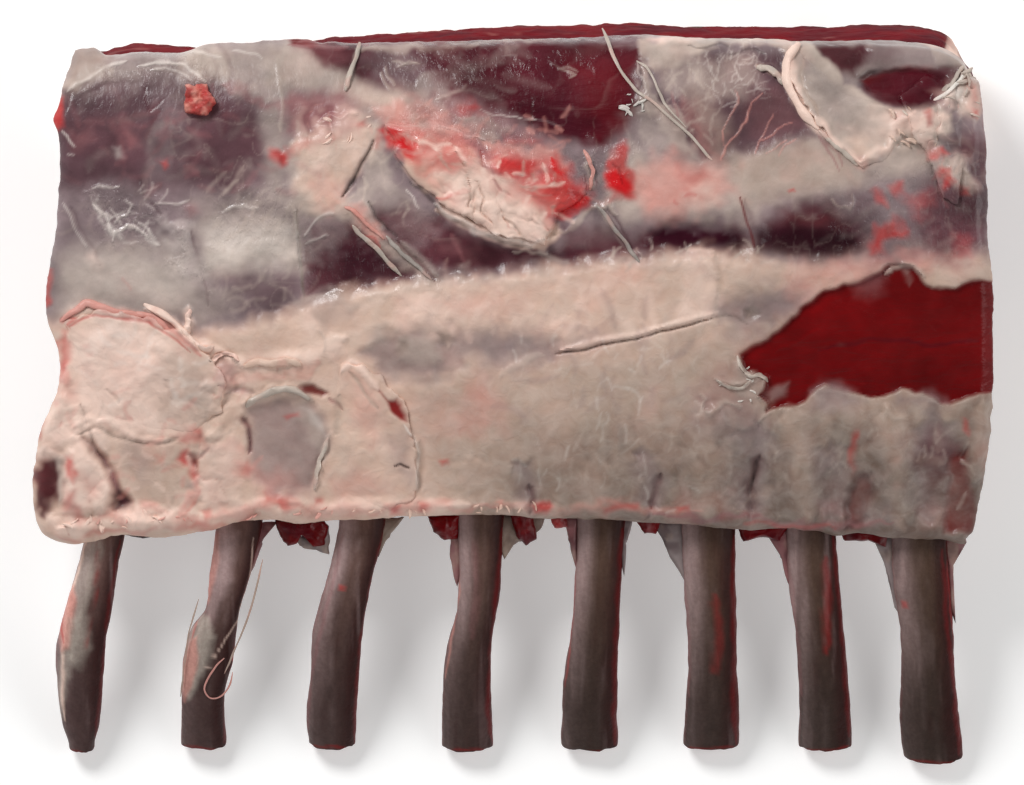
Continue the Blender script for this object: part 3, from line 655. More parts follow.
    area("pink", 0.4, 5, 2, 0, -322, 40, -278, 8, -246, -56, -270, -88, -326, -56),
    area("pink", 0.35, 5, 2, 0, -366, -148, -282, -156, -242, -200, -346, -212),
    area("slate", 0.45, 4, 1.6, 0, -242, -56, -206, -96, -194, -160, -206, -192, -238, -148, -258, -100),
    area("raw_light", 0.95, 1.2, 0.9, -0.3, -266, 12, -254, -2, -234, -4, -222, -16, -214, -40, -216, -56,
         -234, -36, -250, -12),
    line("ivory", 0.85, 2.4, 0.6, 0.4, -342, 48, -326, 64, -306, 52, -288, 32, -272, 12),
    line("tallow", 0.6, 1.6, 0.6, -0.3, -326, 48, -306, 28, -290, 4, -266, -28),
    line("white", 0.5, 0.9, 0.4, 0.2, -218, -56, -200, -84, -192, -112, -190, -156, -194, -192),
    line("shade", 0.75, 0.8, 0.3, -0.4, -238, -140, -226, -136, -208, -146),
    line("drab", 0.5, 2.4, 0.6, -0.3, -186, -88, -182, -140, -186, -192),
    line("tallow", 0.55, 3, 0.8, -0.3, -342, 4, -346, -32, -358, -76),
    area("ivory", 0.8, 4, 1, 0, -878, 132, -826, 156, -766, 152, -706, 132, -658, 96, -626, 60, -614, 12,
         -634, -36, -666, -68, -714, -80, -786, -64, -842, -40, -866, 0, -878, 72),
    area("tallow", 0.45, 7, 1.6, 0, -682, 72, -626, 60, -602, 8, -634, -40, -674, -48, -694, 12),
    area("slate", 0.45, 5, 1.6, 0, -654, 40, -618, 40, -610, -8, -634, -32, -654, -8),
    area("pink", 0.22, 10, 3, 0, -846, 112, -726, 92, -706, 32, -806, 12),
    area("white", 0.35, 6, 3, 0.2, -858, 124, -786, 140, -746, 112, -806, 80, -850, 88),
    line("tallow", 0.5, 1.2, 0.8, -0.3, -818, 12, -802, 0, -792, -16),
    line("tallow", 0.5, 1.2, 0.8, -0.3, -694, 32, -688, 12, -684, -12),
    area("slate", 0.4, 2, 1, 0, -862, 68, -842, 68, -838, 44, -858, 44),
    line("ivory", 0.6, 2.4, 0.8, 0.4, -874, -60, -846, -48, -814, -56, -770, -72, -726, -84, -686, -84),
    line("drab", 0.6, 1.4, 0.6, -0.4, -870, -76, -834, -64, -802, -76, -758, -90, -710, -96, -666, -88),
    line("pink", 0.9, 2.6, 0.6, 0, -902, 148, -878, 168, -854, 186, -830, 180, -778, 166, -726, 160, -700,
         144, -654, 110, -626, 78),
    line("blood", 0.7, 1.2, 0.4, -0.2, -894, 136, -858, 156, -834, 162, -786, 156, -726, 148, -690, 124, -646,
         88),
    line("blood", 0.7, 1.6, 0.6, 0, -906, 148, -894, 160, -878, 156, -894, 138),
    area("blood", 0.4, 1.8, 1.2, 0, -786, 168, -746, 168, -730, 156, -766, 154),
    area("blood", 0.45, 1.6, 1, 0, -858, 104, -850, 108, -846, 96, -854, 92),
    area("blood", 0.4, 1.4, 1, 0, -854, 80, -842, 84, -842, 76, -852, 74),
    area("plum", 0.5, 2, 0.9, 0, -654, 608, -610, 612, -586, 584, -594, 564, -626, 552, -654, 568),
    area("raw", 0.98, 1.2, 0.9, 0, -454, 732, -366, 752, -86, 776, 94, 780, 284, 780, 284, 732, 254, 726, 174,
         728, 94, 730, 14, 724, -86, 716, -186, 710, -266, 706, -336, 704, -406, 700, -442, 704),
    line("raw_light", 0.4, 1.2, 1, 0, -306, 720, -186, 728, -86, 734, 94, 740, 254, 744),
    line("rose", 0.5, 2.4, 1, 0, -434, 704, -366, 712, -294, 708),
    area("raw", 0.98, 1.0, 0.9, 0, 274, 776, 714, 776, 854, 768, 910, 744, 954, 672, 944, 628, 928, 644, 902,
         676, 866, 704, 814, 720, 754, 728, 674, 732, 574, 732, 514, 736, 374, 742, 284, 738),
    line("skin_pale", 0.5, 1.4, 0.6, 0, 166, 740, 214, 728, 274, 720, 314, 724),
    area("blood", 0.6, 1.2, 0.9, 0.2, 474, 744, 514, 752, 542, 748, 526, 738, 490, 738),
    line("pink", 0.5, 1.0, 0.6, 0.1, 706, 732, 734, 734, 762, 732),
    area("raw", 0.9, 1.4, 0.9, 0, 944, 612, 982, 612, 982, 240, 966, 240, 952, 392),
    line("rose", 0.5, 1.6, 0.7, 0.1, -446, 700, -366, 698, -326, 700),
    area("veil", 0.7, 6, 2, 0, -618, 332, -434, 340, -430, 264, -614, 252),
    area("veil", 0.45, 8, 2, 0, -906, 280, -646, 292, -626, 180, -906, 180),
    area("veil", 0.7, 5, 2, 0, 710, 528, 844, 536, 854, 452, 734, 440),
    area("plum", 0.5, 5, 2, 0, 824, 412, 934, 412, 944, 302, 834, 292),
    area("plum_deep", 0.8, 3, 1, 0, 486, 328, 554, 340, 674, 320, 694, 292, 574, 280, 488, 296),
    area("plum", 0.6, 4, 1, 0, 94, 340, 254, 328, 294, 292, 174, 280, 94, 288),
    area("muscle", 0.45, 5, 2, 0, -166, 704, 94, 704, 94, 592, -26, 592, -146, 632),
    area("pink", 0.7, 3, 2, 0, -216, 532, -86, 512, -74, 472, -146, 448, -206, 472),
    area("pink", 0.6, 3, 2, 0, -26, 462, 94, 442, 114, 382, 54, 372, -16, 412),
    area("blood_bright", 0.6, 2, 2, 0, 54, 452, 118, 436, 142, 400, 114, 364, 70, 368, 86, 400, 54, 416),
    area("blood_bright", 0.55, 2, 2, 0, -34, 476, 22, 472, 34, 448, -6, 436, -30, 452),
    area("blood_bright", 0.6, 2, 2, 0, -258, 528, -218, 528, -194, 500, -210, 476, -242, 492),
    area("dun", 0.35, 10, 2, 0, 454, -148, 944, -128, 944, -268, 454, -248),
    area("ivory", 0.45, 6, 2, 0, -882, 140, -746, 156, -646, 88, -634, -8, -706, -56, -846, -28, -882, 52),
    area("white", 0.35, 8, 2, 0, -610, 328, -442, 332, -438, 268, -606, 260),
    area("white", 0.22, 9, 2, 0, -902, 292, -646, 300, -626, 180, -902, 180),
    area("rose", 0.6, 6, 2, 0, -446, 588, -326, 600, -322, 532, -418, 524),
    area("tallow", 0.3, 8, 2, 0, 294, 268, 494, 268, 494, 192, 294, 192),
    area("tallow", 0.45, 8, 2, 0, -706, 92, -630, 72, -614, -32, -706, -40),
    area("muscle", 0.4, 5, 2, 0, -186, 696, 94, 704, 94, 584, -26, 584, -146, 624),
    area("muscle", 0.85, 2, 1, 0, 694, 620, 742, 648, 814, 656, 866, 640, 874, 608, 834, 580, 764, 576, 718,
         596),
    area("dun", 0.3, 10, 2, 0, 654, -148, 944, -128, 944, -268, 654, -258),
    area("blood", 0.3, 5, 3, 0, -218, 540, -86, 516, -26, 492, 14, 432, -66, 440, -146, 448, -210, 472),
    area("blood", 0.45, 4, 3, 0, -58, 484, 94, 472, 154, 412, 114, 360, 54, 384, -16, 412),
    line("ivory", 0.7, 2.6, 1, 0.3, 554, 688, 558, 624, 590, 568, 638, 512, 698, 464),
    line("ivory", 0.6, 3, 1, 0.3, 698, 464, 742, 496, 766, 536, 798, 568),
    area("rose", 0.4, 6, 2, 0, -206, 596, -66, 596, 22, 536, -86, 524, -186, 552),
    area("rose", 0.5, 6, 2, 0, -438, 592, -334, 596, -330, 536, -414, 524),
    area("tallow", 0.35, 5, 2, 0, -410, 532, -322, 532, -322, 448, -410, 448),
    area("veil", 0.4, 5, 2, 0, 284, 692, 384, 692, 384, 608, 284, 608),
    area("skin_pale", 0.5, 5, 2, 0, 634, 592, 714, 584, 710, 520, 642, 524),
    area("blood", 0.25, 5, 3, 0, -218, 540, -86, 516, -74, 472, -146, 448, -210, 472),
    area("tallow", 0.3, 8, 2, 0, -698, 84, -630, 68, -618, -24, -694, -28),
    line("white", 0.5, 2.2, 1, 0.4, -158, 384, -110, 352, -66, 330, -16, 314, 34, 304, 70, 316),
    area("raw_light", 0.35, 10, 3, 0, 470, 92, 574, 156, 694, 200, 742, 168, 614, 92, 518, 32),
    area("rose", 0.5, 6, 2, 0, -438, 592, -334, 596, -330, 536, -414, 524),
    area("plum_deep", 0.5, 4, 1, 0, 486, 332, 554, 348, 674, 328, 698, 292, 574, 276, 488, 292),
    area("muscle", 0.35, 5, 2, 0, -166, 696, 94, 704, 94, 584, -26, 584, -146, 624),
    area("white", 0.2, 8, 2, 0, -610, 328, -442, 332, -438, 268, -606, 260),
    area("gloss", 0.9, 4, 3, 0, -858, 424, -766, 424, -706, 372, -706, 308, -826, 308, -858, 372),
    area("gloss", 1.0, 5, 4, 0, -690, 348, -646, 348, -638, 232, -670, 236),
    area("gloss", 0.8, 3, 3, 0, -894, 608, -806, 672, -626, 680, -602, 624, -666, 640, -806, 640),
    area("gloss", 0.6, 4, 4, 0, -256, 568, -86, 584, 54, 524, 94, 452, -26, 472, -186, 492),
    area("gloss", 0.5, 5, 5, 0, -618, 392, -434, 400, -430, 312, -614, 304),
    area("gloss", 0.6, 4, 4, 0, 46, 480, 238, 504, 238, 392, 94, 360),
    area("gloss", 0.5, 5, 5, 0, -418, 364, -146, 364, -146, 232, -406, 212),
    area("gloss", 0.5, 5, 5, 0, 626, 412, 934, 492, 944, 292, 634, 292),
    area("gloss", 0.4, 5, 5, 0, -266, 700, 234, 720, 174, 672, -226, 632),
]

# The same for what lies on the bare ribs.
RIB_MARKS = [
    area("veil", 0.5, 1.6, 0.5, 0.3, -858, -290, -826, -290, -834, -348, -854, -408, -878, -488, -898, -588,
         -910, -648, -918, -588, -906, -488, -886, -388),
    line("ivory", 0.7, 1.3, 0.4, 0.35, -854, -290, -874, -358, -894, -420, -906, -508, -910, -588, -906,
         -658),
    area("pink", 0.8, 1.2, 0.5, 0.8, -906, -388, -886, -380, -876, -416, -884, -468, -894, -508, -910, -512,
         -914, -472, -912, -424),
    area("veil", 0.5, 2.2, 0.8, 0.2, -890, -448, -858, -440, -854, -508, -878, -548, -894, -528),
    line("blood", 0.6, 0.9, 0.4, 0.1, -902, -400, -910, -444, -906, -498),
    line("raw_light", 0.4, 1.4, 0.4, 0, -834, -298, -842, -408, -866, -528),
    line("raw", 0.4, 1.4, 0.4, 0, -790, -288, -810, -408, -826, -528, -836, -648, -846, -712),
    area("pink", 0.7, 1.2, 0.5, 0.4, -610, -270, -592, -270, -588, -328, -602, -378, -616, -420, -628, -408,
         -614, -352, -608, -308),
    area("veil", 0.65, 1.4, 0.5, 0.6, -634, -432, -610, -444, -602, -488, -618, -532, -634, -584, -658, -616,
         -668, -588, -662, -520, -650, -468),
    area("pink", 0.7, 1.0, 0.5, 0.4, -650, -488, -638, -480, -634, -528, -650, -588, -664, -616, -670, -588,
         -664, -536),
    area("bone_grey", 0.6, 2.4, 0.6, 0.1, -594, -276, -554, -276, -566, -368, -586, -408, -598, -368),
    line("white", 0.5, 0.6, 0.3, 0.2, -502, -388, -522, -472, -546, -544, -566, -592, -578, -616),
    line("ivory", 0.5, 0.6, 0.3, 0.2, -522, -288, -530, -368, -554, -448, -594, -512, -618, -552),
    line("blood", 0.5, 1.0, 0.4, 0.1, -618, -388, -634, -440, -646, -488),
    line("raw", 0.4, 1.4, 0.4, 0, -510, -288, -538, -408, -558, -508, -574, -608, -582, -704),
    area("blood", 0.9, 0.6, 0.3, 0.8, -564, -522, -552, -524, -550, -536, -560, -540, -566, -532),
    line("bone_grey", 0.5, 3.0, 0.6, 0.1, -334, -276, -346, -328, -362, -388),
    line("raw", 0.55, 1.8, 0.4, 0, -260, -278, -286, -388, -304, -488, -312, -588, -320, -704),
    line("rose", 0.35, 1.6, 0.5, 0, -342, -278, -366, -388, -390, -488, -410, -588, -414, -698),
    area("blood", 0.6, 0.6, 0.3, 0.2, -350, -380, -340, -382, -342, -394, -352, -392),
    line("raw", 0.55, 2.0, 0.4, 0, -22, -268, -32, -388, -44, -508, -48, -648, -42, -704),
    line("pink", 0.45, 0.9, 0.3, 0.15, -120, -278, -108, -392, -122, -488, -136, -572),
    line("rose", 0.3, 2.2, 0.6, 0, -78, -288, -74, -388, -86, -488),
    line("raw", 0.5, 2.2, 0.4, 0, 222, -268, 212, -408, 206, -568, 206, -704),
    line("blood", 0.35, 0.7, 0.3, 0.1, 116, -268, 126, -388, 116, -488, 104, -588),
    line("raw", 0.55, 2.2, 0.4, 0, 444, -280, 444, -388, 448, -568, 450, -704),
    line("raw_light", 0.4, 3.0, 0.8, 0, 412, -400, 416, -488, 412, -568),
    area("blood", 0.8, 0.7, 0.3, 0.7, 338, -496, 350, -500, 352, -520, 342, -528, 336, -512),
    line("rose", 0.3, 1.4, 0.4, 0, 326, -298, 346, -392, 354, -488, 354, -608),
    line("raw", 0.5, 2.0, 0.4, 0, 646, -280, 654, -388, 670, -528, 680, -688),
    line("raw_light", 0.5, 2.8, 0.8, 0, 624, -324, 632, -408, 630, -516),
    line("rose", 0.3, 1.4, 0.4, 0, 546, -298, 560, -388, 574, -508, 584, -608),
    line("raw", 0.5, 1.8, 0.4, 0, 864, -308, 874, -448, 890, -588, 904, -728),
    line("raw_light", 0.5, 0.8, 0.3, 0, 874, -328, 884, -448, 898, -588, 910, -708),
    area("blood", 0.5, 0.8, 0.4, 0.2, 782, -412, 794, -414, 796, -426, 784, -426),
    line("raw_light", 0.5, 1.0, 0.6, 0.1, -906, -722, -874, -724, -842, -722),
    line("raw_light", 0.5, 1.0, 0.6, 0.1, -670, -712, -624, -714, -578, -712),
    line("raw_light", 0.5, 1.0, 0.6, 0.1, -416, -712, -366, -714, -316, -712),
    line("raw_light", 0.5, 1.0, 0.6, 0.1, -146, -716, -92, -718, -38, -716),
    line("raw_light", 0.5, 1.0, 0.6, 0.1, 96, -718, 155, -720, 214, -718),
    line("raw_light", 0.5, 1.0, 0.6, 0.1, 344, -712, 401, -714, 458, -712),
    line("raw_light", 0.5, 1.0, 0.6, 0.1, 576, -712, 632, -714, 688, -712),
    line("raw_light", 0.5, 1.0, 0.6, 0.1, 788, -740, 851, -742, 914, -740),
]

# Skirts of skin and drops of blood under the slab's edge, beside the ribs: tissue and outline.
SKIRTS = [
    ("raw", places(-480, -248, -456, -240, -390, -242, -370, -260, -380, -298, -400, -306, -414, -290, -426,
     -280, -434, -298, -454, -302, -470, -282)),
    ("slate", places(-434, -284, -370, -260, -368, -320, -400, -312, -430, -302)),
    ("rose", places(-526, -260, -470, -252, -498, -278, -512, -320, -526, -360, -534, -308)),
    ("shade", places(-786, -256, -658, -248, -686, -280, -746, -286, -782, -280)),
    ("drab", places(-282, -244, -218, -244, -238, -268, -256, -290, -270, -324, -284, -298)),
    ("raw", places(-174, -240, -102, -236, -110, -290, -138, -290, -160, -274)),
    ("rose", places(-126, -252, -98, -244, -98, -332, -114, -392, -126, -328)),
    ("drab", places(-34, -236, 70, -236, 56, -268, 30, -290, -2, -302, -16, -332, -30, -304)),
    ("raw", places(-10, -232, 42, -232, 48, -288, 26, -302, 8, -280)),
    ("blood", places(74, -240, 106, -238, 110, -264, 84, -264)),
    ("rose", places(102, -244, 130, -242, 130, -360, 116, -312)),
    ("slate", places(212, -248, 242, -248, 230, -300, 224, -364, 212, -312)),
    ("raw", places(238, -236, 302, -240, 288, -278, 264, -278)),
    ("slate", places(278, -252, 358, -256, 356, -392, 334, -352, 314, -324, 302, -290)),
    ("raw", places(450, -256, 562, -256, 536, -292, 504, -284, 462, -294)),
    ("rose", places(498, -260, 570, -262, 572, -412, 550, -372, 540, -328, 524, -300)),
    ("raw", places(654, -264, 758, -266, 750, -306, 714, -290, 664, -292)),
    ("slate", places(714, -276, 782, -276, 790, -460, 768, -426, 758, -378, 744, -328)),
    ("rose", places(850, -272, 906, -268, 914, -294, 888, -314, 886, -388, 898, -476, 874, -408, 860, -328)),
]

# Strands: tissue, width, how high the middle arches, whether it lies over a rib, and its path. Lengths are
# in mm here and below, and places in tenths of a mm.
STRANDS = [
    ("pink", 1.5, 0.3, False, places(-902, 148, -878, 168, -854, 184, -830, 178, -802, 170, -770, 164, -738,
     162)),
    ("pink", 1.3, 0.3, False, places(-758, 166, -734, 162, -710, 150, -686, 130, -662, 112, -640, 94, -624,
     74)),
    ("ivory", 1.4, 0.4, False, places(-738, 184, -710, 170, -686, 152, -662, 130, -638, 106, -614, 94, -598,
     102)),
    ("ivory", 1.2, 0.3, False, places(-650, 124, -650, 148, -646, 174)),
    ("ivory", 0.8, 0.4, False, places(-610, 60, -600, 72, -582, 82, -562, 84, -546, 72)),
    ("cream", 1.6, 0.4, False, places(-538, 60, -510, 68, -482, 64, -450, 68, -422, 64)),
    ("veil", 1.3, 0.5, False, places(-534, -24, -518, -8, -498, 0, -474, 10, -450, 14, -430, 10, -406, -6)),
    ("veil", 1.0, 0.4, False, places(-368, -84, -382, -116, -390, -148, -398, -188)),
    ("veil", 0.7, 0.7, False, places(178, 736, 190, 708, 200, 680, 214, 652, 230, 628, 246, 608, 274, 590)),
    ("veil", 0.6, 0.3, False, places(246, 608, 278, 590, 316, 556, 354, 518, 382, 486, 398, 470)),
    ("veil", 0.5, 0.3, False, places(248, 672, 268, 656, 284, 624, 296, 598, 318, 568, 346, 536)),
    ("ivory", 1.8, 0.6, False, places(574, 706, 554, 684, 546, 656, 548, 624, 566, 588, 586, 558, 610, 532)),
    ("veil", 1.3, 0.5, False, places(486, 656, 510, 654, 530, 640, 546, 620)),
    ("veil", 1.2, 0.4, False, places(610, 532, 638, 508, 666, 484, 690, 460)),
    ("white", 0.8, 0.5, False, places(810, 568, 834, 584, 862, 604, 886, 624, 906, 648)),
    ("veil", 0.9, 0.5, False, places(778, 572, 802, 556, 826, 564, 850, 580, 874, 576)),
    ("veil", 0.8, 0.4, False, places(854, 608, 874, 624, 890, 644, 902, 660)),
    ("veil", 0.9, 0.6, False, places(-308, 708, -312, 680, -322, 652, -328, 628, -334, 608)),
    ("pink", 0.8, 0.6, False, places(142, 492, 152, 472, 158, 452, 158, 432, 154, 410)),
    ("veil", 0.9, 0.4, False, places(-322, 340, -302, 320, -278, 298, -254, 272, -222, 240)),
    ("pink", 0.8, 0.4, False, places(-334, 380, -310, 364, -286, 340, -258, 312)),
    ("skin_pale", 0.9, 0.4, False, places(-254, 320, -226, 288, -194, 260, -162, 232)),
    ("skin_pale", 0.8, 0.4, False, places(166, 380, 190, 352, 214, 320, 234, 292, 254, 268)),
    ("veil", 0.8, 0.5, False, places(446, 80, 458, 60, 474, 40, 494, 40, 510, 28)),
    ("veil", 0.7, 0.4, False, places(406, 32, 430, 20, 454, 16, 478, 28)),
    ("tallow", 0.4, 1.2, True, places(-502, -328, -514, -380, -528, -432, -546, -480, -566, -520, -582,
     -560)),
    ("pink", 0.35, 0.8, True, places(-582, -528, -598, -544, -614, -568, -622, -592, -610, -608, -590, -604,
     -574, -584, -566, -556)),
    ("tallow", 0.35, 0.8, True, places(-630, -408, -646, -456, -658, -508, -666, -560, -670, -608)),
]

# Wisps to scatter: tissue, how many, length, direction and spread in degrees, strength, width, and the area.
WISPS = [
    ("skin_pale", 60, 9, 5, 35, 0.2, 2.4, places(-898, 612, -446, 612, -426, 392, -434, 192, -906, 172)),
    ("skin_dark", 50, 9, 80, 25, 0.3, 1.6, places(-898, 592, -502, 600, -494, 392, -906, 392)),
    ("veil", 50, 7, 30, 60, 0.3, 1.2, places(-634, 392, -434, 400, -426, 172, -586, 152)),
    ("white", 26, 4, 20, 60, 0.35, 0.8, places(-854, 424, -726, 424, -706, 308, -826, 304)),
    ("slate", 40, 8, 75, 40, 0.3, 2.0, places(-46, 132, 294, 152, 334, -48, -26, -68)),
    ("white", 60, 4, 75, 40, 0.25, 0.8, places(-26, 132, 374, 112, 374, -248, -6, -208)),
    ("ivory", 60, 6, 10, 60, 0.3, 2.0, places(-406, 192, 454, 268, 454, 132, -186, 92)),
    ("tallow", 60, 7, 80, 40, 0.2, 2.6, places(-186, 72, 434, 112, 502, -28, 854, -48, 894, -248, -146,
     -228)),
    ("veil", 50, 4, 80, 40, 0.3, 1.0, places(94, -88, 894, -48, 914, -248, 94, -228)),
    ("dun", 50, 7, 85, 20, 0.3, 2.0, places(174, -88, 894, -48, 914, -248, 174, -228)),
    ("veil", 60, 5, 70, 60, 0.35, 0.8, places(254, 672, 374, 692, 414, 492, 374, 472, 274, 552)),
    ("white", 60, 3.4, 70, 60, 0.25, 0.5, places(370, 676, 486, 684, 490, 592, 406, 576)),
    ("skin_pale", 30, 9, 10, 25, 0.16, 2.6, places(-346, 692, -26, 700, -26, 592, -266, 612)),
    ("skin", 40, 8, 15, 30, 0.2, 2.4, places(-418, 332, 94, 312, 454, 360, 454, 292, -366, 212)),
    ("veil", 50, 4, 30, 60, 0.35, 1.0, places(-466, 532, -166, 532, -166, 352, -426, 352)),
    ("skin_pale", 40, 6, 30, 60, 0.2, 2.0, places(534, 392, 934, 512, 944, 272, 534, 272)),
    ("ivory", 50, 4, 30, 70, 0.5, 1.6, places(-926, 12, -546, 12, -526, -228, -906, -268, -926, -48)),
    ("pink", 36, 4, 30, 70, 0.45, 1.4, places(-926, 12, -546, 12, -526, -228, -906, -268, -926, -48)),
    ("drab", 30, 4, 30, 70, 0.3, 1.2, places(-926, 12, -546, 12, -526, -228, -906, -268, -926, -48)),
    ("white", 24, 6, 60, 60, 0.3, 1.4, places(-866, 132, -646, 112, -634, -48, -846, -28)),
    ("rose", 40, 6, 20, 50, 0.25, 1.8, places(-886, 572, -466, 572, -446, 392, -886, 372)),
    ("pink", 40, 4, 10, 60, 0.45, 1.4, places(-346, 572, 94, 552, 174, 392, -26, 432, -326, 492)),
    ("ivory", 40, 4, 60, 60, 0.6, 1.2, places(-166, 492, 94, 412, 86, 312, -26, 320, -146, 384)),
    ("tallow", 30, 4, 60, 60, 0.5, 1.0, places(-166, 492, 94, 412, 86, 312, -26, 320, -146, 384)),
    ("veil", 40, 3, 70, 50, 0.5, 0.8, places(94, 280, 494, 296, 494, 256, 94, 240)),
]

# Crumbs to scatter: tissue, how many, width, how far above the surface, and the area.
CRUMBS = [
    ("white", 12, 1.3, 0.2, places(202, 600, 266, 604, 270, 564, 214, 556)),
    ("cream", 14, 1.5, 0.8, places(754, 568, 866, 576, 874, 512, 814, 492, 750, 500)),
    ("veil", 12, 1.5, 0.6, places(838, 600, 874, 632, 918, 660, 934, 624, 926, 560, 874, 568)),
    ("ivory", 14, 1.3, 0.0, places(-906, -248, -670, -224, -670, -252, -902, -276)),
    ("pink", 14, 1.1, 0.0, places(-906, -256, -346, -220, -346, -236, -906, -268)),
    ("cream", 16, 1.2, -0.1, places(-346, -220, 94, -220, 94, -236, -346, -240)),
    ("ivory", 8, 1.2, 0.0, places(-386, 556, -282, 560, -274, 512, -366, 500)),
    ("white", 8, 0.9, 0.0, places(406, 48, 494, 64, 510, -8, 434, -32)),
]

# Knobbly fat: how high its lumps are, how far across, and the area.
PUFFS = [
    (1.5, 6, places(-938, -8, -854, -4, -842, -80, -878, -120, -938, -100)),
    (1.2, 7, places(-894, -104, -834, -132, -798, -196, -814, -240, -894, -240)),
    (1.2, 5, places(-934, -236, -666, -220, -666, -260, -918, -288)),
    (1.0, 5, places(-654, -68, -546, -80, -542, -220, -646, -224)),
    (0.8, 4.5, places(-626, 48, -526, 76, -422, 88, -418, 44, -526, 8, -614, -28)),
    (0.8, 4.5, places(-666, -208, 94, -208, 94, -244, -658, -256)),
    (1.3, 4.5, places(-162, 424, -66, 400, 34, 364, 86, 320, 54, 300, -26, 312, -106, 340)),
    (0.7, 6, places(-186, 500, -26, 456, 54, 364, -66, 380, -166, 432)),
    (1.3, 4.5, places(746, 572, 870, 580, 878, 508, 814, 488, 746, 496)),
    (1.2, 4, places(834, 608, 878, 640, 926, 664, 942, 620, 934, 556, 874, 564)),
    (1.0, 4, places(850, 492, 922, 480, 946, 416, 894, 408, 858, 452)),
    (0.5, 5, places(-426, 584, -258, 584, -246, 492, -386, 432, -434, 492)),
]

# The loose pieces on top, as the solids have them: outline and height in mm, and which way the free edge faces
# in degrees.
LOOSE_PIECES = {
    "fat_pad_left": (
        [(-90, 15), (-82.6, 17.6), (-72.6, 15.8), (-64, 11.4), (-58, 4.6), (-58.6, -3), (-64, -7.4),
         (-73, -7), (-82, -4.6), (-86.6, 2.6), (-87.6, 9.6)],
        2.2, 50,
    ),
    "fat_tab_left": (
        [(-34.4, 6.6), (-30.4, 6.8), (-25.6, 3.6), (-21.4, -2.4), (-19.2, -11), (-19.6, -20.6), (-25, -23),
         (-34.6, -20.6), (-37, -12), (-36, -4)],
        1.6, 20,
    ),
    "fat_flap_centre": (
        [(-25.4, 54), (-22.8, 46.4), (-15, 38.4), (-3, 32), (6.6, 29.6), (9.6, 36.4), (15.2, 40.4),
         (13.4, 46.6), (5, 49.2), (-6.6, 52), (-16, 55)],
        3.0, -115,
    ),
    "membrane_flap_right": (
        [(53.6, 68.4), (57, 69.2), (59.8, 66.4), (67.4, 60.4), (77.6, 57.4), (79, 52), (73.4, 47),
         (69.6, 45.4), (65, 49.6), (60.4, 55), (56.4, 60.8), (54, 67)],
        1.6, -140,
    ),
    "fat_lumps_right": (
        [(77.4, 59.6), (82.6, 64.6), (88, 62.8), (90, 56), (90, 46), (88.8, 38.4), (85.8, 40.2), (83, 47),
         (79.6, 53)],
        2.0, -150,
    ),
}
MEAT_SCRAP = ([(-65.6, 62.2), (-61, 62.4), (-59.4, 58.4), (-61.4, 56), (-65.4, 56.6)], 3.2)

SEAM = 0.06  # where the two halves of the fat cover meet, from -1 at the rib side to 1 at the chine
FAT_THICKNESS = 4.0
TIP_YS = [-70.3, -69.6, -69.4, -70, -69.9, -69.8, -69.8, -72.4]
BARE_END_Y = -22  # the ribs are bare from their tips to here
BARE_SHARE = 0.58  # this much of a rib's rings lies on the bare part
RIB_RINGS = 230
STRAND_RINGS = 60
USUAL_HALF_LENGTH = 94  # about half the slab's length, to tell how far a point is from its ends
USUAL_HALF_DEPTH = 50  # and from its long edges

SKIN_TINT = np.array([0.14, 0.05, 0.07])  # how much redder and brighter skin is painted than it is mixed
SKIN_SPECULAR = 0.18
CUT_SPECULAR = 0.05
CUT_ROUGHNESS = 0.7
BONE_SPECULAR = 0.12
CAMERA_HEIGHT = 3.0
FOCUS_HEIGHT = 0.04  # the view is as wide as VIEW_WIDTH at this height, in m
VIEW_WIDTH = 0.2048
SENSOR_WIDTH = 36


def linear(srgb):
    """An sRGB colour from 0 to 255 as linear light from 0 to 1."""
    share = np.asarray(srgb, float) / 255
    return np.where(share <= 0.04045, share / 12.92, ((share + 0.055) / 1.055) ** 2.4)


def through(points, place):
    """The height at each place of a smooth line through points, all in mm."""
    table = np.array(points, float)
    across, up = table[:, 0], table[:, 1]
    slope = np.gradient(up, across)
    slope[1:-1] = (up[2:] - up[:-2]) / (across[2:] - across[:-2])
    place = np.clip(place, across[0], across[-1])
    i = np.clip(np.searchsorted(across, place, side="right") - 1, 0, len(across) - 2)
    run = across[i + 1] - across[i]
    t = (place - across[i]) / run
    rise = up[i] * (1 + 2 * t) * (1 - t) ** 2 + up[i + 1] * t * t * (3 - 2 * t)
    return rise + run * (slope[i] * t * (1 - t) ** 2 - slope[i + 1] * t * t * (1 - t))


def lattice(ix, iy, seed):
    """A repeatable random number from 0 to 1 at each whole-number place."""
    mixed = (ix * 374761393 + iy * 668265263 + seed * 974634777).astype(np.int64) & 0xFFFFFFFF
    mixed = ((mixed ^ (mixed >> 13)) * 1274126177) & 0xFFFFFFFF
    return ((mixed ^ (mixed >> 16)) & 0xFFFF) / 65535.0


def noise(x, y, size, seed, octaves=3):
    """Soft noise from -1 to 1 whose largest lumps are this size across. Each use has a seed of its own."""
    total = np.zeros(np.shape(x))
    weight = 0.0
    for octave in range(octaves):
        scale = 2.0**octave / size
        u, v = x * scale + 31.7 * seed, y * scale - 17.3 * seed
        iu, iv = np.floor(u).astype(np.int64), np.floor(v).astype(np.int64)
        fu, fv = u - iu, v - iv
        fu, fv = fu * fu * (3 - 2 * fu), fv * fv * (3 - 2 * fv)
        low = lattice(iu, iv, seed + octave) * (1 - fu) + lattice(iu + 1, iv, seed + octave) * fu
        high = lattice(iu, iv + 1, seed + octave) * (1 - fu) + lattice(iu + 1, iv + 1, seed + octave) * fu
        total += (low * (1 - fv) + high * fv - 0.5) * 2 * 0.5**octave
        weight += 0.5**octave
    return total / weight


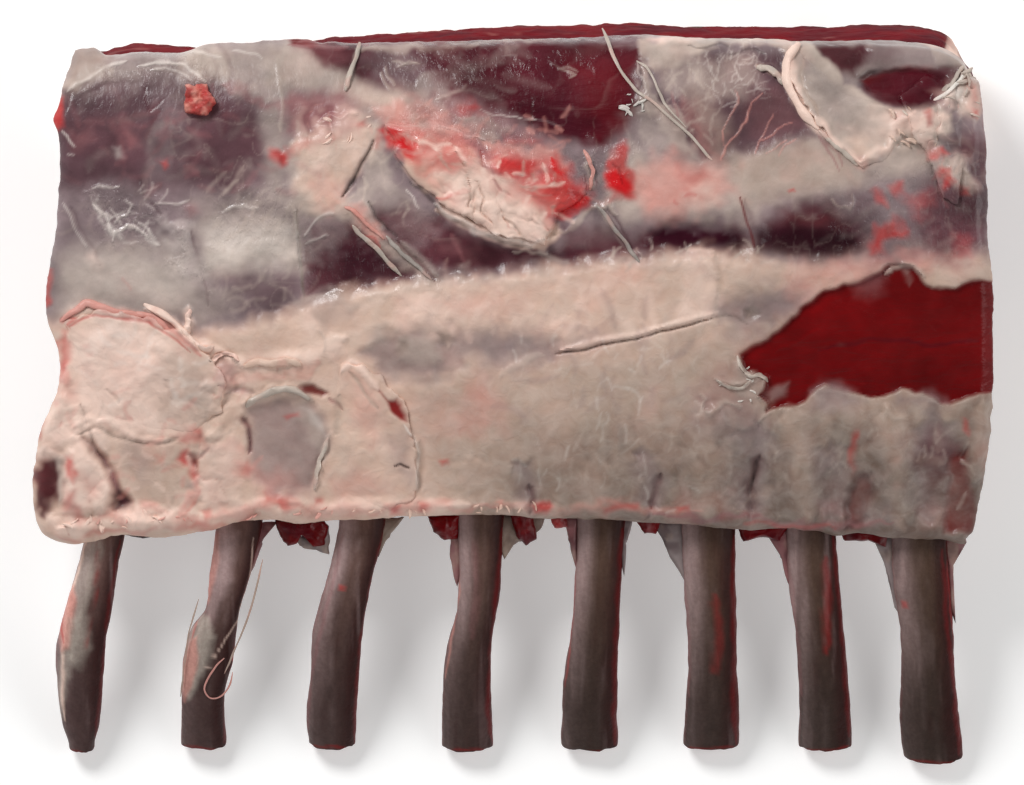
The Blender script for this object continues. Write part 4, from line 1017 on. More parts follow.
def ease(low, high, value):
    """0 up to low, 1 from high on, and smooth between."""
    share = np.clip((value - low) / (high - low), 0, 1)
    return share * share * (3 - 2 * share)


def path_distance(x, y, path, closed=False):
    """How far each point lies from a line through the path's points, and the share of the way along it."""
    best = np.full(np.shape(x), 1e9)
    along = np.zeros_like(best)
    ends = list(zip(path, path[1:] + path[:1])) if closed else list(zip(path, path[1:]))
    for i, ((ax, ay), (bx, by)) in enumerate(ends):
        dx, dy = bx - ax, by - ay
        length = dx * dx + dy * dy or 1e-9
        t = np.clip(((x - ax) * dx + (y - ay) * dy) / length, 0, 1)
        away = np.hypot(x - ax - t * dx, y - ay - t * dy)
        near = away < best
        best = np.where(near, away, best)
        along = np.where(near, (i + t) / len(ends), along)
    return best, along


def inside(x, y, outline):
    """Whether each point lies within the outline."""
    within = np.zeros(np.shape(x), bool)
    for (ax, ay), (bx, by) in zip(outline, outline[1:] + outline[:1]):
        if ay != by:
            within ^= ((ay > y) != (by > y)) & (x < (bx - ax) * (y - ay) / (by - ay) + ax)
    return within


def area_mask(x, y, outline, feather):
    """1 well inside the outline, 0 well outside, and a soft edge this wide between."""
    away, _ = path_distance(x, y, outline, closed=True)
    return ease(-feather / 2, feather / 2, np.where(inside(x, y, outline), away, -away))


def line_mask(x, y, path, width):
    """1 along the path and 0 past half its width, thinning to points at both ends."""
    away, along = path_distance(x, y, path)
    taper = np.minimum(1, 6 * np.minimum(along, 1 - along) + 0.35)
    return 1 - ease(0, 1, away / (width / 2 * taper))


class Paint:
    """The colour, the finish and the lift of some points, painted mark by mark."""

    def __init__(self, colours, x, y, tissue):
        self.colours, self.x, self.y = colours, x, y
        self.colour = np.tile(tissue_colour(colours, tissue), (len(x), 1))
        self.finish = np.tile(np.array(TISSUES[tissue][1], float), (len(x), 1))
        self.lift = np.zeros(len(x))
        self.gloss = np.zeros(len(x))

    def cover(self, tissue, mask, where=slice(None)):
        """Lay a tissue over the points, as thick as the mask says."""
        share = np.asarray(mask)[:, None]
        colour, finish = tissue_colour(self.colours, tissue), np.asarray(TISSUES[tissue][1])
        for layer, value in ((self.colour, colour), (self.finish, finish)):
            layer[where] = layer[where] * (1 - share) + value * share

    def near(self, points, reach):
        """Which of the painted places lie in the box around these points, widened by the reach."""
        low_x, low_y = np.min(points, 0) - reach
        high_x, high_y = np.max(points, 0) + reach
        return (self.x > low_x) & (self.x < high_x) & (self.y > low_y) & (self.y < high_y)

    def marks(self, marks, first_seed=11):
        """Lay down a list of marks in order."""
        for i, (kind, tissue, strength, soft, ragged, lift, points) in enumerate(marks):
            near = self.near(points, soft + ragged + 1)
            if not near.any():
                continue
            x, y = self.x[near], self.y[near]
            seed = first_seed + i
            if ragged:
                u = x + ragged * (noise(x, y, 4.5, seed, 2) + 0.36 * noise(x, y, 1.5, seed + 1, 1))
                v = y + ragged * (noise(x, y, 4.5, seed + 46, 2) + 0.36 * noise(x, y, 1.5, seed + 47, 1))
            else:
                u, v = x, y
            mask = area_mask(u, v, points, soft) if kind == "area" else line_mask(u, v, points, soft)
            if tissue == "gloss":
                self.gloss[near] = np.maximum(self.gloss[near], mask * strength)
            else:
                self.cover(tissue, mask * strength, near)
            self.lift[near] += mask * lift


def tissue_colour(colours, tissue):
    """The linear colour the user has set for a tissue."""
    return np.array(getattr(colours, tissue))


def top_height(x, y):
    """The top of the slab, in mm, before its edges roll over."""
    return through(TOP_PROFILE, y) - END_DROP * np.abs(x / HALF_LENGTH) ** END_DROP_POWER


def rib_height(y, tip_y):
    """The middle of a rib whose tip is at tip_y, in mm, and its slope towards the chine."""
    fall = np.where(y > RIB_PEAK_Y, FALL_TO_CHINE, (RIB_PEAK_Z - RIB_TIP_Z) / (tip_y - RIB_PEAK_Y) ** 2)
    return RIB_PEAK_Z - fall * (y - RIB_PEAK_Y) ** 2, -2 * fall * (y - RIB_PEAK_Y)


def underside_height(y):
    """The meat between the ribs, down to the flat along the chine, in mm."""
    between = rib_height(y, TIP_YS[0])[0] - RIB_THICKNESS / 2 + 1
    return between * (1 - ease(38, 52, y))


def slab_plan(u, v, tuck_sides, tuck_chine):
    """Where points of the block lie in plan, in mm: u, v run from -1 to 1 along the spine and to the chine.

    The walls tuck in by these shares of their bulge.
    """
    y = (v + 1) / 2 * 101 - 27  # a first guess, from the rib side at -27 mm to the chine 101 mm further on
    for _ in range(3):  # each edge bends the other, and this settles within a few rounds
        left, right = through(LEFT_EDGE, y), through(RIGHT_EDGE, y)
        x = left + (right - left) * (u + 1) / 2
        rib_side, chine = through(RIB_EDGE, x), through(CHINE_EDGE, x)
        y = rib_side + (chine - rib_side) * (v + 1) / 2
    wobble = 0.3 * noise(x + y, tuck_sides * 8, 2.6, 7, 3)
    x = x - SIDE_BULGE * tuck_sides**2 * u**5 + wobble * u**31
    y = y - np.where(v > 0, CHINE_BULGE * tuck_chine**2, SIDE_BULGE * tuck_sides**2) * v**9 + wobble * v**31
    return x, y


def distance_from_edge(u, v):
    """About how far each point of the block is from its nearest edge, in mm."""
    return np.minimum((1 - np.abs(u)) * USUAL_HALF_LENGTH, (1 - np.abs(v)) * USUAL_HALF_DEPTH)


def chine_shows(x):
    """How much of the chine's raw side shows beyond the cover: none at the blade end, most further on."""
    return np.clip(through(CHINE_SHOWS, x), 0, 1)


def relief(x, y, finish):
    """How much the lumps of fat, ripples of skin and grain of meat lift the surface, in mm."""
    skin, fat, raw = finish.T
    lumps = 0.5 * noise(x, y, 11, 21, 2) + 0.2 * noise(x, y, 3.6, 22, 2) + 0.035 * noise(x, y, 1.1, 23, 1)
    ripples = 0.25 * noise(x, y, 14, 24, 2) + 0.05 * noise(x * 0.35, y, 2.2, 25, 2)
    grain = 0.1 * noise(x * 0.3, y, 2, 26, 2) + 0.2 * noise(x, y, 9, 27, 2)
    return fat * lumps + skin * ripples + raw * grain


def paint_top(colours, x, y):
    """The slab's top: everything that lies on it."""
    paint = Paint(colours, x, y, "skin")
    paint.marks(MARKS)
    paint.marks(scattered_wisps(), 900)
    puff(paint)
    mottle(paint)
    paint.lift += relief(x, y, paint.finish)
    return paint


def puff(paint):
    """Knobbly fat with pink creases between its lumps, inside each area of PUFFS."""
    for row, (height, size, outline) in enumerate(PUFFS):
        near = paint.near(outline, 3)
        if not near.any():
            continue
        x, y = paint.x[near], paint.y[near]
        u, v = x + 1.2 * noise(x, y, 3, 240 + row, 2), y + 1.2 * noise(x, y, 3, 260 + row, 2)
        bulge = np.sqrt(np.abs(noise(u, v, size, 200 + row, 1)))
        bulge = 0.75 * bulge + 0.25 * np.sqrt(np.abs(noise(v, u, size * 0.45, 220 + row, 1)))
        mask = area_mask(u, v, outline, 3)
        paint.cover("ivory", 0.3 * mask * ease(0.4, 0.8, bulge), near)
        paint.cover("pink", 0.5 * mask * ease(0.3, 0.05, bulge), near)
        paint.lift[near] += mask * height * (bulge - 0.3)


def mottle(paint):
    """Clouds and fine threads in the skin, and cracks and pink patches in the fat, all of them faint."""
    x, y = paint.x, paint.y
    skin, fat, raw = paint.finish.T
    for seed, size, stretch in ((83, 9, 0.6), (85, 6, 1.5)):
        thread = 1 - np.abs(noise(x * stretch, y, size, seed, 3)) / 0.06
        paint.cover("veil", 0.14 * skin * ease(0, 1, thread) * ease(-0.1, 0.4, noise(x, y, 16, seed + 1, 2)))
    crack = 1 - np.abs(noise(x, y, 4.5, 87, 3)) / 0.07
    paint.cover("tallow", 0.2 * fat * ease(0, 1, crack) * ease(-0.1, 0.4, noise(x, y, 14, 88, 2)))
    paint.cover("pink", 0.2 * fat * ease(0.25, 0.7, noise(x, y, 10, 89, 4)))
    cloud, fine = noise(x, y, 9, 81, 4), noise(x * 0.7, y, 2.4, 82, 3)
    shade = 1 + (0.3 * skin + 0.1 * fat + 0.35 * raw) * cloud + (0.14 * skin + 0.07 * fat + 0.1 * raw) * fine
    paint.colour *= shade[:, None]
    deep = 1 + 0.2 * np.maximum(skin, raw * 0.5)[:, None]
    paint.colour = np.clip(paint.colour, 0, 1) ** deep * (1 + skin[:, None] * SKIN_TINT)


def place_within(outline, draw):
    """A random place inside the outline."""
    low, high = np.min(outline, 0), np.max(outline, 0)
    while True:
        place = low + (high - low) * draw.random(2)
        if inside(place[:1], place[1:], outline)[0]:
            return place


def scattered_wisps():
    """Short curved threads and smears inside each area of WISPS, as marks."""
    marks, steps = [], np.linspace(-1, 1, 5)
    for row, (tissue, count, length, degrees, spread, strength, width, outline) in enumerate(WISPS):
        draw = np.random.default_rng(70 + row)
        for _ in range(count):
            middle = place_within(outline, draw)
            size, share = length * (0.5 + draw.random()), 0.3 + 0.7 * draw.random()
            turn = math.radians(degrees + spread * draw.normal()) + 0.5 * draw.normal() * steps
            turn = turn + 0.1 * draw.normal(size=5)
            path = middle + np.cumsum(np.column_stack([np.cos(turn), np.sin(turn)]), 0) * size / 5
            wide = width * (0.6 + 0.8 * share)
            marks.append(("line", tissue, strength * share, wide, 0.4, 0, path.tolist()))
    return marks


def deselect_all():
    """Leave edit mode and select nothing."""
    if bpy.context.object and bpy.context.object.mode != "OBJECT":
        bpy.ops.object.mode_set(mode="OBJECT")
    bpy.ops.object.select_all(action="DESELECT")


def coordinates(piece):
    """A piece's points, one row each."""
    spots = np.empty(len(piece.data.vertices) * 3)
    piece.data.vertices.foreach_get("co", spots)
    return spots.reshape(-1, 3)


def select_open_edges():
    """Select the edges that have a face on one side only."""
    bpy.ops.mesh.select_all(action="DESELECT")
    bpy.ops.mesh.select_non_manifold(
        extend=False, use_wire=False, use_multi_face=False, use_non_contiguous=False, use_verts=False
    )


def finish_piece(piece, spots, paint, material, slot, *nodes):
    """Move the points to their spots in mm, hand over the paint, turn the faces outwards and tie it in."""
    mesh = piece.data
    mesh.vertices.foreach_set("co", (np.asarray(spots) * MM).ravel())
    opaque = np.ones(len(spots))
    for name, values, last in (("flesh", paint.colour, opaque), ("finish", paint.finish, paint.gloss)):
        layer = mesh.attributes.new(name, "FLOAT_COLOR", "POINT")
        rgba = np.column_stack([np.clip(values, 0, 1), last])
        layer.data.foreach_set("color", rgba.ravel())
    mesh.update()
    deselect_all()
    piece.select_set(True)
    bpy.context.view_layer.objects.active = piece
    bpy.ops.object.mode_set(mode="EDIT")
    bpy.ops.mesh.select_all(action="SELECT")
    bpy.ops.mesh.normals_make_consistent(inside=False)
    bpy.ops.object.mode_set(mode="OBJECT")
    bpy.ops.object.shade_smooth_by_angle(angle=math.radians(60))
    mesh.materials.clear()
    mesh.materials.append(material)
    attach(piece, "root")
    if nodes:
        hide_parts(*nodes)
    return piece


def skin_block(name, columns, rows, wall_rows, under_columns, under_rows):
    """A closed block from -1 to 1 each way: a fine face on top, walls in rows, and a coarser face beneath."""
    deselect_all()
    bpy.ops.mesh.primitive_grid_add(x_subdivisions=columns, y_subdivisions=rows, size=2, location=(0, 0, 1))
    piece = bpy.context.object
    piece.name = piece.data.name = name
    bpy.ops.object.transform_apply(location=True)
    bpy.ops.object.mode_set(mode="EDIT")
    bpy.ops.mesh.select_mode(type="EDGE")
    select_open_edges()
    for _ in range(wall_rows):
        bpy.ops.mesh.extrude_edges_move(TRANSFORM_OT_translate={"value": (0, 0, -2 / wall_rows)})
    bpy.ops.mesh.select_all(action="DESELECT")
    bpy.ops.mesh.primitive_grid_add(
        x_subdivisions=under_columns, y_subdivisions=under_rows, size=1.98, location=(0, 0, -1)
    )
    bpy.ops.mesh.flip_normals()
    select_open_edges()
    bpy.ops.mesh.bridge_edge_loops()
    bpy.ops.object.mode_set(mode="OBJECT")
    return piece


def make_cover(name, colours, material, v_low, v_high, rows):
    """One half of the fat and silverskin over the slab, from v_low at the rib side to v_high at the chine."""
    piece = skin_block(name, columns=590, rows=rows, wall_rows=6, under_columns=120, under_rows=30)
    u, t, w = coordinates(piece).T
    v = v_low + (t + 1) / 2 * (v_high - v_low)
    depth = (1 - w) / 2 * (FAT_THICKNESS + 0.2)
    from_edge = distance_from_edge(u, v)
    down = (1 - w) / 2
    x, _ = slab_plan(u, v, 0, 0)
    x, y = slab_plan(u, v, 0.35 * down, np.sqrt(chine_shows(x)) * (1 - depth / 22))
    curl = 0.9 * ease(0.35, 1, down)
    x, y = x - np.sign(u) * np.abs(u) ** 61 * curl, y - np.sign(v) * np.abs(v) ** 61 * curl
    paint = paint_top(colours, x, y)
    roll = RIM_DROP * (1 - np.clip(from_edge / RIM_ROUND, 0, 1)) ** 2
    z = top_height(x, y) + paint.lift * (1 - 0.8 * down) * ease(0, 3, from_edge + 1.5) - roll - depth
    if v_low == -1:  # the rib half runs on under the chine half's edge
        z = z - 0.04 * ease(SEAM + 0.001, SEAM + 0.006, v)
    return finish_piece(piece, np.column_stack([x, y, z]), paint, material, "fat", "fat_cover")


def make_lean(colours, material):
    """The meat under the fat: its cut ends, its chine side, its edge along the ribs, and its underside."""
    piece = skin_block("lean_meat_slab", columns=300, rows=160, wall_rows=44, under_columns=60, under_rows=30)
    u, v, under = coordinates(piece).T
    w = -under
    x, y = slab_plan(u, v, w, w)
    shows = np.where(v > 0, chine_shows(x), 0)
    edge = ease(2.2, 0, distance_from_edge(u, v))
    x = x - 0.9 * np.sign(u) * np.abs(u) ** 31
    y = y - (0.9 - 0.9 * shows) * np.sign(v) * np.abs(v) ** 31
    top = top_height(x, y) - FAT_THICKNESS + 0.6 - RIM_DROP * edge
    bottom = underside_height(y)
    z = bottom + (top - bottom) * (w + 1) / 2
    paint = paint_lean(colours, x, y, z, u, v, w)
    side = ease(0.9, 1, np.abs(u))
    x = x + np.sign(u) * side * paint.lift
    z = np.maximum(0, z + np.where((w < -0.98) & (y < 45), paint.lift, 0))
    y = y + np.where(np.abs(v) > 0.999, np.sign(v) * paint.lift, 0)
    return finish_piece(piece, np.column_stack([x, y, z]), paint, material, "lean", "lean_meat")


def paint_lean(colours, x, y, z, u, v, w):
    """Both ends with a dark eye of lean and seams of fat, raw meat along the chine, and skin beneath."""
    paint = Paint(colours, x, y, "raw")
    paint.cover("muscle", np.full(len(x), 0.55))
    patches = noise(x + z, y + z, 7, 31, 4)
    paint.cover("plum_deep", 0.35 * ease(-0.1, 0.5, patches))
    at_end = ease(0.985, 0.999, np.abs(u))
    eye = np.hypot((y - 44) / 25, (z - 22) / 17) + 0.12 * noise(y, z, 8, 32, 3)
    cap = np.hypot((y - 18) / 44, (z - 33) / 7) + 0.1 * noise(y, z, 6, 33, 3)
    fatty = ease(0.96, 1.1, eye) * ease(0.85, 1.0, cap)
    paint.cover("raw_light", 0.45 * at_end * ease(0.9, 0.2, eye))
    paint.cover("ivory", at_end * fatty * ease(-0.75, -0.2, noise(y, z, 9, 34, 3)))
    marbling = ease(0.42, 0.6, noise(y + x * 0.2, z, 3.4, 35, 3))
    paint.cover("pink", 0.55 * at_end * marbling)
    rib_side = ease(-0.995, -1, v)
    paint.cover("raw_light", 0.5 * rib_side * ease(-0.3, 0.3, noise(x, z * 2, 6, 36, 3)))
    paint.cover("pink", 0.6 * rib_side * ease(0.3, 0.5, noise(x, z * 3, 4, 37, 3)))
    chine = ease(0.98, 1, v)
    paint.cover("raw_light", 0.35 * chine * ease(-0.3, 0.3, noise(x, z * 2, 9, 46, 3)))
    paint.cover("pink", 0.15 * chine * ease(0.4, 0.55, noise(x * 0.5, z, 5, 38, 3)))
    paint.cover("cream", 0.9 * chine * ease(14, 8, z + 4 * noise(x, z, 9, 39, 3)))
    below = ease(-0.97, -1, w)
    paint.cover("rose", 0.75 * below * ease(-0.5, 0.2, noise(x, y, 13, 40, 3)))
    paint.cover("skin", 0.45 * below * ease(0, 0.5, noise(x, y * 0.4, 9, 41, 3)))
    paint.cover("cream", 0.85 * below * ease(0.12, 0.4, noise(x * 0.6, y, 8, 42, 3)))
    paint.cover("cream", 0.9 * below * ease(42, 50, y))
    paint.cover("raw", 0.7 * below * ease(46, 54, y) * ease(0.1, 0.35, noise(x, y, 6, 43, 3)))
    paint.lift += 0.35 * noise(x + z, y - z, 5, 44, 3) + 0.1 * noise(x, y + z, 1.4, 45, 2)
    return paint


def outline_reach(outline, centre, angle):
    """How far it is from the centre to the outline in each direction."""
    reach = np.zeros(np.shape(angle))
    way_x, way_y = np.cos(angle), np.sin(angle)
    for (ax, ay), (bx, by) in zip(outline, outline[1:] + outline[:1]):
        ax, ay, bx, by = ax - centre[0], ay - centre[1], bx - centre[0], by - centre[1]
        side = (bx - ax) * way_y - (by - ay) * way_x
        side = np.where(np.abs(side) < 1e-9, 1e-9, side)
        away = ((bx - ax) * ay - (by - ay) * ax) / side
        share = (way_x * ay - way_y * ax) / side
        hit = (share >= 0) & (share <= 1) & (away > 0)
        reach = np.where(hit, np.maximum(reach, away), reach)
    return reach


def dome(name, segments, rings):
    """A round dome to shape, left at its own size."""
    deselect_all()
    bpy.ops.mesh.primitive_uv_sphere_add(segments=segments, ring_count=rings, radius=1)
    piece = bpy.context.object
    piece.name = piece.data.name = name
    return piece


def dome_over(piece, outline):
    """Each point of a dome as its share of the way out, its direction and its height.

    The outline's centre and its reach in each of those directions come with them.
    """
    a, b, c = coordinates(piece).T
    angle = np.arctan2(b, a)
    centre = np.array(outline).mean(0)
    return np.hypot(a, b), angle, c, centre, outline_reach(outline, centre, angle)


def spread_out(centre, angle, reach, spread):
    """Places in plan at a share of the reach from the centre in each direction."""
    return centre[0] + np.cos(angle) * reach * spread, centre[1] + np.sin(angle) * reach * spread


def make_loose_piece(name, outline, height, free_way, colours, material, seed):
    """A loose piece on the slab: thick and overhanging at its free edge, fading into the fat opposite."""
    piece = dome(name, 280, 100)
    spread, angle, c, centre, reach = dome_over(piece, outline)
    facing = np.cos(angle - math.radians(free_way))
    free = ease(-0.75, 0.35, facing + 0.25 * noise(angle * 3, angle * 0, 2, seed, 2))
    reach = reach + (0.5 + 0.9 * free) * noise(np.cos(angle) * reach, np.sin(angle) * reach, 2.6, seed, 3)
    x, y = spread_out(centre, angle, reach, spread)
    paint = paint_top(colours, x, y)
    base = top_height(x, y) + paint.lift
    folds = height * (0.3 * noise(x, y, 6, seed + 3, 2) + 0.16 * noise(x, y, 2.4, seed + 4, 2))
    edge = spread * free
    rim = 0.35 * edge * ease(0.72, 0.92, spread)
    power = 1.5 - 1.15 * edge
    full = 0.45 + 0.55 * (1 - (1 - free) * ease(0.1, 1, spread))
    rise = np.abs(c) ** power * (height * full + rim + folds)
    z = base + np.where(c > 0, rise - 0.25, -0.25 - np.abs(c) ** 0.5)
    return finish_piece(piece, np.column_stack([x, y, z]), paint, material, "fat", name)


def through_path(points, share):
    """Places along a smooth curve through points, at each share of the way from 0 to 1."""
    table = np.array(points, float)
    steps = np.linspace(0, 1, len(table))
    return np.column_stack([through(np.column_stack([steps, column]), share) for column in table.T])


def make_bar(name, sides, rings):
    """One straight closed bar to bend into ribs or strands: a tube in rings, one apart, with stepped ends."""
    deselect_all()
    bpy.ops.mesh.primitive_circle_add(vertices=sides, radius=1, fill_type="NOTHING", location=(0, 0, 0))
    piece = bpy.context.object
    piece.name = piece.data.name = name
    bpy.ops.object.mode_set(mode="EDIT")
    bpy.ops.mesh.select_all(action="SELECT")
    for _ in range(rings):
        bpy.ops.mesh.extrude_edges_move(TRANSFORM_OT_translate={"value": (0, 0, 1)})
    for height in (rings, 0):
        bpy.ops.object.mode_set(mode="OBJECT")
        for edge in piece.data.edges:
            ends = [piece.data.vertices[i].co.z for i in edge.vertices]
            edge.select = all(abs(end - height) < 0.01 for end in ends)
        bpy.ops.object.mode_set(mode="EDIT")
        bpy.ops.mesh.select_mode(type="EDGE")
        for scale in (0.94, 0.85, 0.8, 0.7, 0.6, 0.5):
            bpy.ops.mesh.extrude_edges_move(TRANSFORM_OT_translate={"value": (0, 0, 0)})
            bpy.ops.transform.resize(value=(scale, scale, 1), center_override=(0, 0, height))
        bpy.ops.mesh.edge_face_add()
        bpy.ops.mesh.poke()
    bpy.ops.object.mode_set(mode="OBJECT")
    return piece


def copy_bar(bar, name):
    """A copy of the bar with its own mesh."""
    piece = bar.copy()
    piece.data = bar.data.copy()
    piece.name = piece.data.name = name
    bpy.context.collection.objects.link(piece)
    return piece


def make_strands(colours, material):
    """Threads, rolled rims and shreds of fat and skin that lie on the slab and the ribs, as one piece."""
    bar, parts = make_bar("strand_bar", 12, STRAND_RINGS), []
    for i, (tissue, width, high, over_rib, points) in enumerate(STRANDS):
        piece = copy_bar(bar, f"strand_{i}")
        a, b, station = coordinates(piece).T
        share = station / STRAND_RINGS
        middle, ahead = through_path(points, share), through_path(points, np.clip(share + 0.01, 0, 1))
        behind = through_path(points, np.clip(share - 0.01, 0, 1))
        way = np.arctan2(*(ahead - behind).T[::-1])
        taper = np.sqrt(np.clip(np.minimum(share, 1 - share) * 7 + 0.12, 0, 1))
        knots = 1 + 0.35 * noise(station, station * 0, 9, 640 + i, 3)
        half = width / 2 * taper * knots
        sway = 0.35 * noise(station, station * 0, 14, 660 + i, 2)
        x = middle[:, 0] - np.sin(way) * (a * half + sway)
        y = middle[:, 1] + np.cos(way) * (a * half + sway)
        paint = paint_top(colours, x, y)
        ground = top_height(x, y) + paint.lift
        if over_rib:
            ground = rib_height(y, TIP_YS[1])[0] + RIB_THICKNESS / 2
        arch = high * np.sin(np.pi * share) ** 0.6
        z = ground + arch + b * half * 0.6 + 0.2 * half
        paint.cover(tissue, np.full(len(x), 0.85))
        paint.cover("pink", 0.3 * ease(0, 0.6, noise(x, y, 2.5, 680 + i, 2)))
        parts.append(finish_piece(piece, np.column_stack([x, y, z]), paint, material, "fat"))
    bpy.data.objects.remove(bar)
    return join_pieces(parts, "strands")


def make_crumbs(colours, material):
    """Bent shreds of fat and meat, sunk into the surface wherever CRUMBS puts them, as one piece."""
    lump = dome("crumb_lump", 18, 12)
    ball = coordinates(lump)
    rows = []
    for row, (tissue, count, size, raised, outline) in enumerate(CRUMBS):
        draw = np.random.default_rng(300 + row)
        for _ in range(count):
            middle, across = place_within(outline, draw), size * (0.45 + 0.8 * draw.random())
            rows.append((tissue, middle, across, raised, draw.random() * math.pi, 0.25 + 0.3 * draw.random()))
    piece = join_pieces([copy_bar(lump, f"crumb_{i}") for i in range(len(rows))], "crumbs")
    bpy.data.objects.remove(lump)
    middles = np.array([row[1] for row in rows])
    ground = top_height(*middles.T) + paint_top(colours, *middles.T).lift
    spots = []
    for i, (_, middle, across, raised, turn, flat) in enumerate(rows):
        bumps = 1 + 0.7 * noise(*(ball[:, :2] * 2 + ball[:, 2:] * 1.3).T, 1.6, 310 + i, 3)
        a, b, c = (ball * bumps[:, None] * across / 2).T
        a, b = 1.4 * a, b * flat + 0.5 * a**2 / across
        x = middle[0] + a * math.cos(turn) - b * math.sin(turn)
        y = middle[1] + a * math.sin(turn) + b * math.cos(turn)
        spots.append(np.column_stack([x, y, ground[i] + raised + 0.35 * c]))
    spots = np.concatenate(spots)
    paint = paint_top(colours, spots[:, 0], spots[:, 1])
    for i, row in enumerate(rows):
        paint.cover(row[0], np.full(len(ball), 0.7), slice(i * len(ball), (i + 1) * len(ball)))
    return finish_piece(piece, spots, paint, material, "fat")


def join_pieces(parts, name):
    """Many small parts as one piece."""
    deselect_all()
    for part in parts:
        part.select_set(True)
    bpy.context.view_layer.objects.active = parts[0]
    bpy.ops.object.join()
    parts[0].name = parts[0].data.name = name
    return parts[0]


def make_rib(number, bar, colours, material):
    """Bend a copy of the bar along one rib: blunt edges, sawn tip, and the marks that lie on it."""
    piece = copy_bar(bar, f"rib_{number + 1}")
    a, b, station = coordinates(piece).T
    share = station / RIB_RINGS
    tip_y, rows = TIP_YS[number], RIBS[number]
    chine_y = rows[-1][0] - 0.4
    bare_y = tip_y + (BARE_END_Y - tip_y) * share / BARE_SHARE
    meaty_y = BARE_END_Y + (chine_y - BARE_END_Y) * (share - BARE_SHARE) / (1 - BARE_SHARE)
    y = np.where(share < BARE_SHARE, bare_y, meaty_y)
    radius = np.hypot(a, b)
    angle = np.arctan2(b, a)
    square = 0.62  # below 1, so that the round bar becomes blunt-edged
    across = np.sign(np.cos(angle)) * np.abs(np.cos(angle)) ** square * radius
    high = np.sign(np.sin(angle)) * np.abs(np.sin(angle)) ** square * radius
    z_mid, slope = rib_height(y, tip_y)
    tilt = np.arctan(slope)
    left = through([(row[0], row[1]) for row in rows], y - np.sin(tilt) * 2)
    right = through([(row[0], row[2]) for row in rows], y - np.sin(tilt) * 2)
    seed = 60 + 7 * number
    wander = 0.22 * noise(y, y * 0 + number * 40, 3, seed, 3) * np.sign(across)
    width = (right - left) / 2 - 0.1
    x = (left + right) / 2 + across * width + wander * np.abs(across)
    half = RIB_THICKNESS / 2
    crown = 1 - 0.12 * across**2 + 0.05 * noise(x, y, 7, seed + 2, 2)
    offset = high * half * crown
    y_out = y - np.sin(tilt) * offset
    z = z_mid + np.cos(tilt) * offset
    end = share == 0
    y_out = y_out + np.where(end, 0.5 * noise(x, z, 2, seed + 4, 3) - 0.25 * (1 - radius), 0)
    paint = paint_rib(colours, x, y_out, number, across, high, share, radius, seed)
    on_top = ease(-0.2, 0.3, high)
    z = z + on_top * paint.lift * (share < BARE_SHARE + 0.02)
    z = np.maximum(z, 0.02)
    spots = np.column_stack([x, y_out, z])
    return finish_piece(piece, spots, paint, material, "bone", f"rib_bone_{number + 1}")


def paint_rib(colours, x, y, number, across, high, share, radius, seed):
    """A rib: rosy at the blade end, browner towards the loin, light on its left and dark red on its right."""
    paint = Paint(colours, x, y, "bone_umber")
    rosy = (1, 0.85, 0.6, 0.4, 0.1, 0.1, 0.05, 0)[number]
    paint.cover("bone_rosy", np.full(len(x), rosy))
    to_tip = ease(-24, -66, y)
    paint.cover("bone_dark", 0.95 * to_tip)
    paint.cover("bone_plum", 0.7 * rosy * to_tip)
    wander = 0.12 * noise(y, x, 7, seed + 6, 3)
    paint.cover("bone_grey", (0.7 + 0.25 * rosy) * (1 - 0.9 * to_tip) * ease(0, 0.8, wander - across))
    paint.cover("bone_red", 0.9 * ease(0.1, 0.8, across + wander))
    streaks = noise(x, y * 0.1, 1.4, seed + 5, 3)
    paint.cover("bone_grey", 0.22 * ease(0.1, 0.7, streaks) * (1 - 0.5 * to_tip))
    paint.cover("bone_red", 0.3 * ease(0.1, 0.7, -streaks))
    paint.cover("raw", 0.3 * ease(-0.9, -1, across) + 0.4 * ease(0.9, 1, across))
    below = ease(0.1, -0.4, high)
    paint.cover("bone_rosy", 0.5 * below)
    paint.cover("rose", 0.35 * below * ease(0, 0.5, noise(x, y, 6, seed + 7, 3)))
    bare_top = (high > 0) & (share < 0.62)
    where = np.flatnonzero(bare_top)
    part = Paint(colours, x[where], y[where], "raw")
    part.colour, part.finish = paint.colour[where], paint.finish[where]
    part.marks(RIB_MARKS, 400)
    paint.colour[where], paint.finish[where], paint.lift[where] = part.colour, part.finish, part.lift
    cut = share == 0
    paint.cover("rose", 0.6 * cut * ease(0.95, 0.8, radius))
    paint.cover("raw", 0.9 * cut * ease(0.75, 0.5, radius + 0.2 * noise(x, y * 3 + high * 3, 2, seed + 8, 2)))
    paint.lift += 0.1 * noise(x, y * 0.4, 2.4, seed + 9, 3)
    return paint


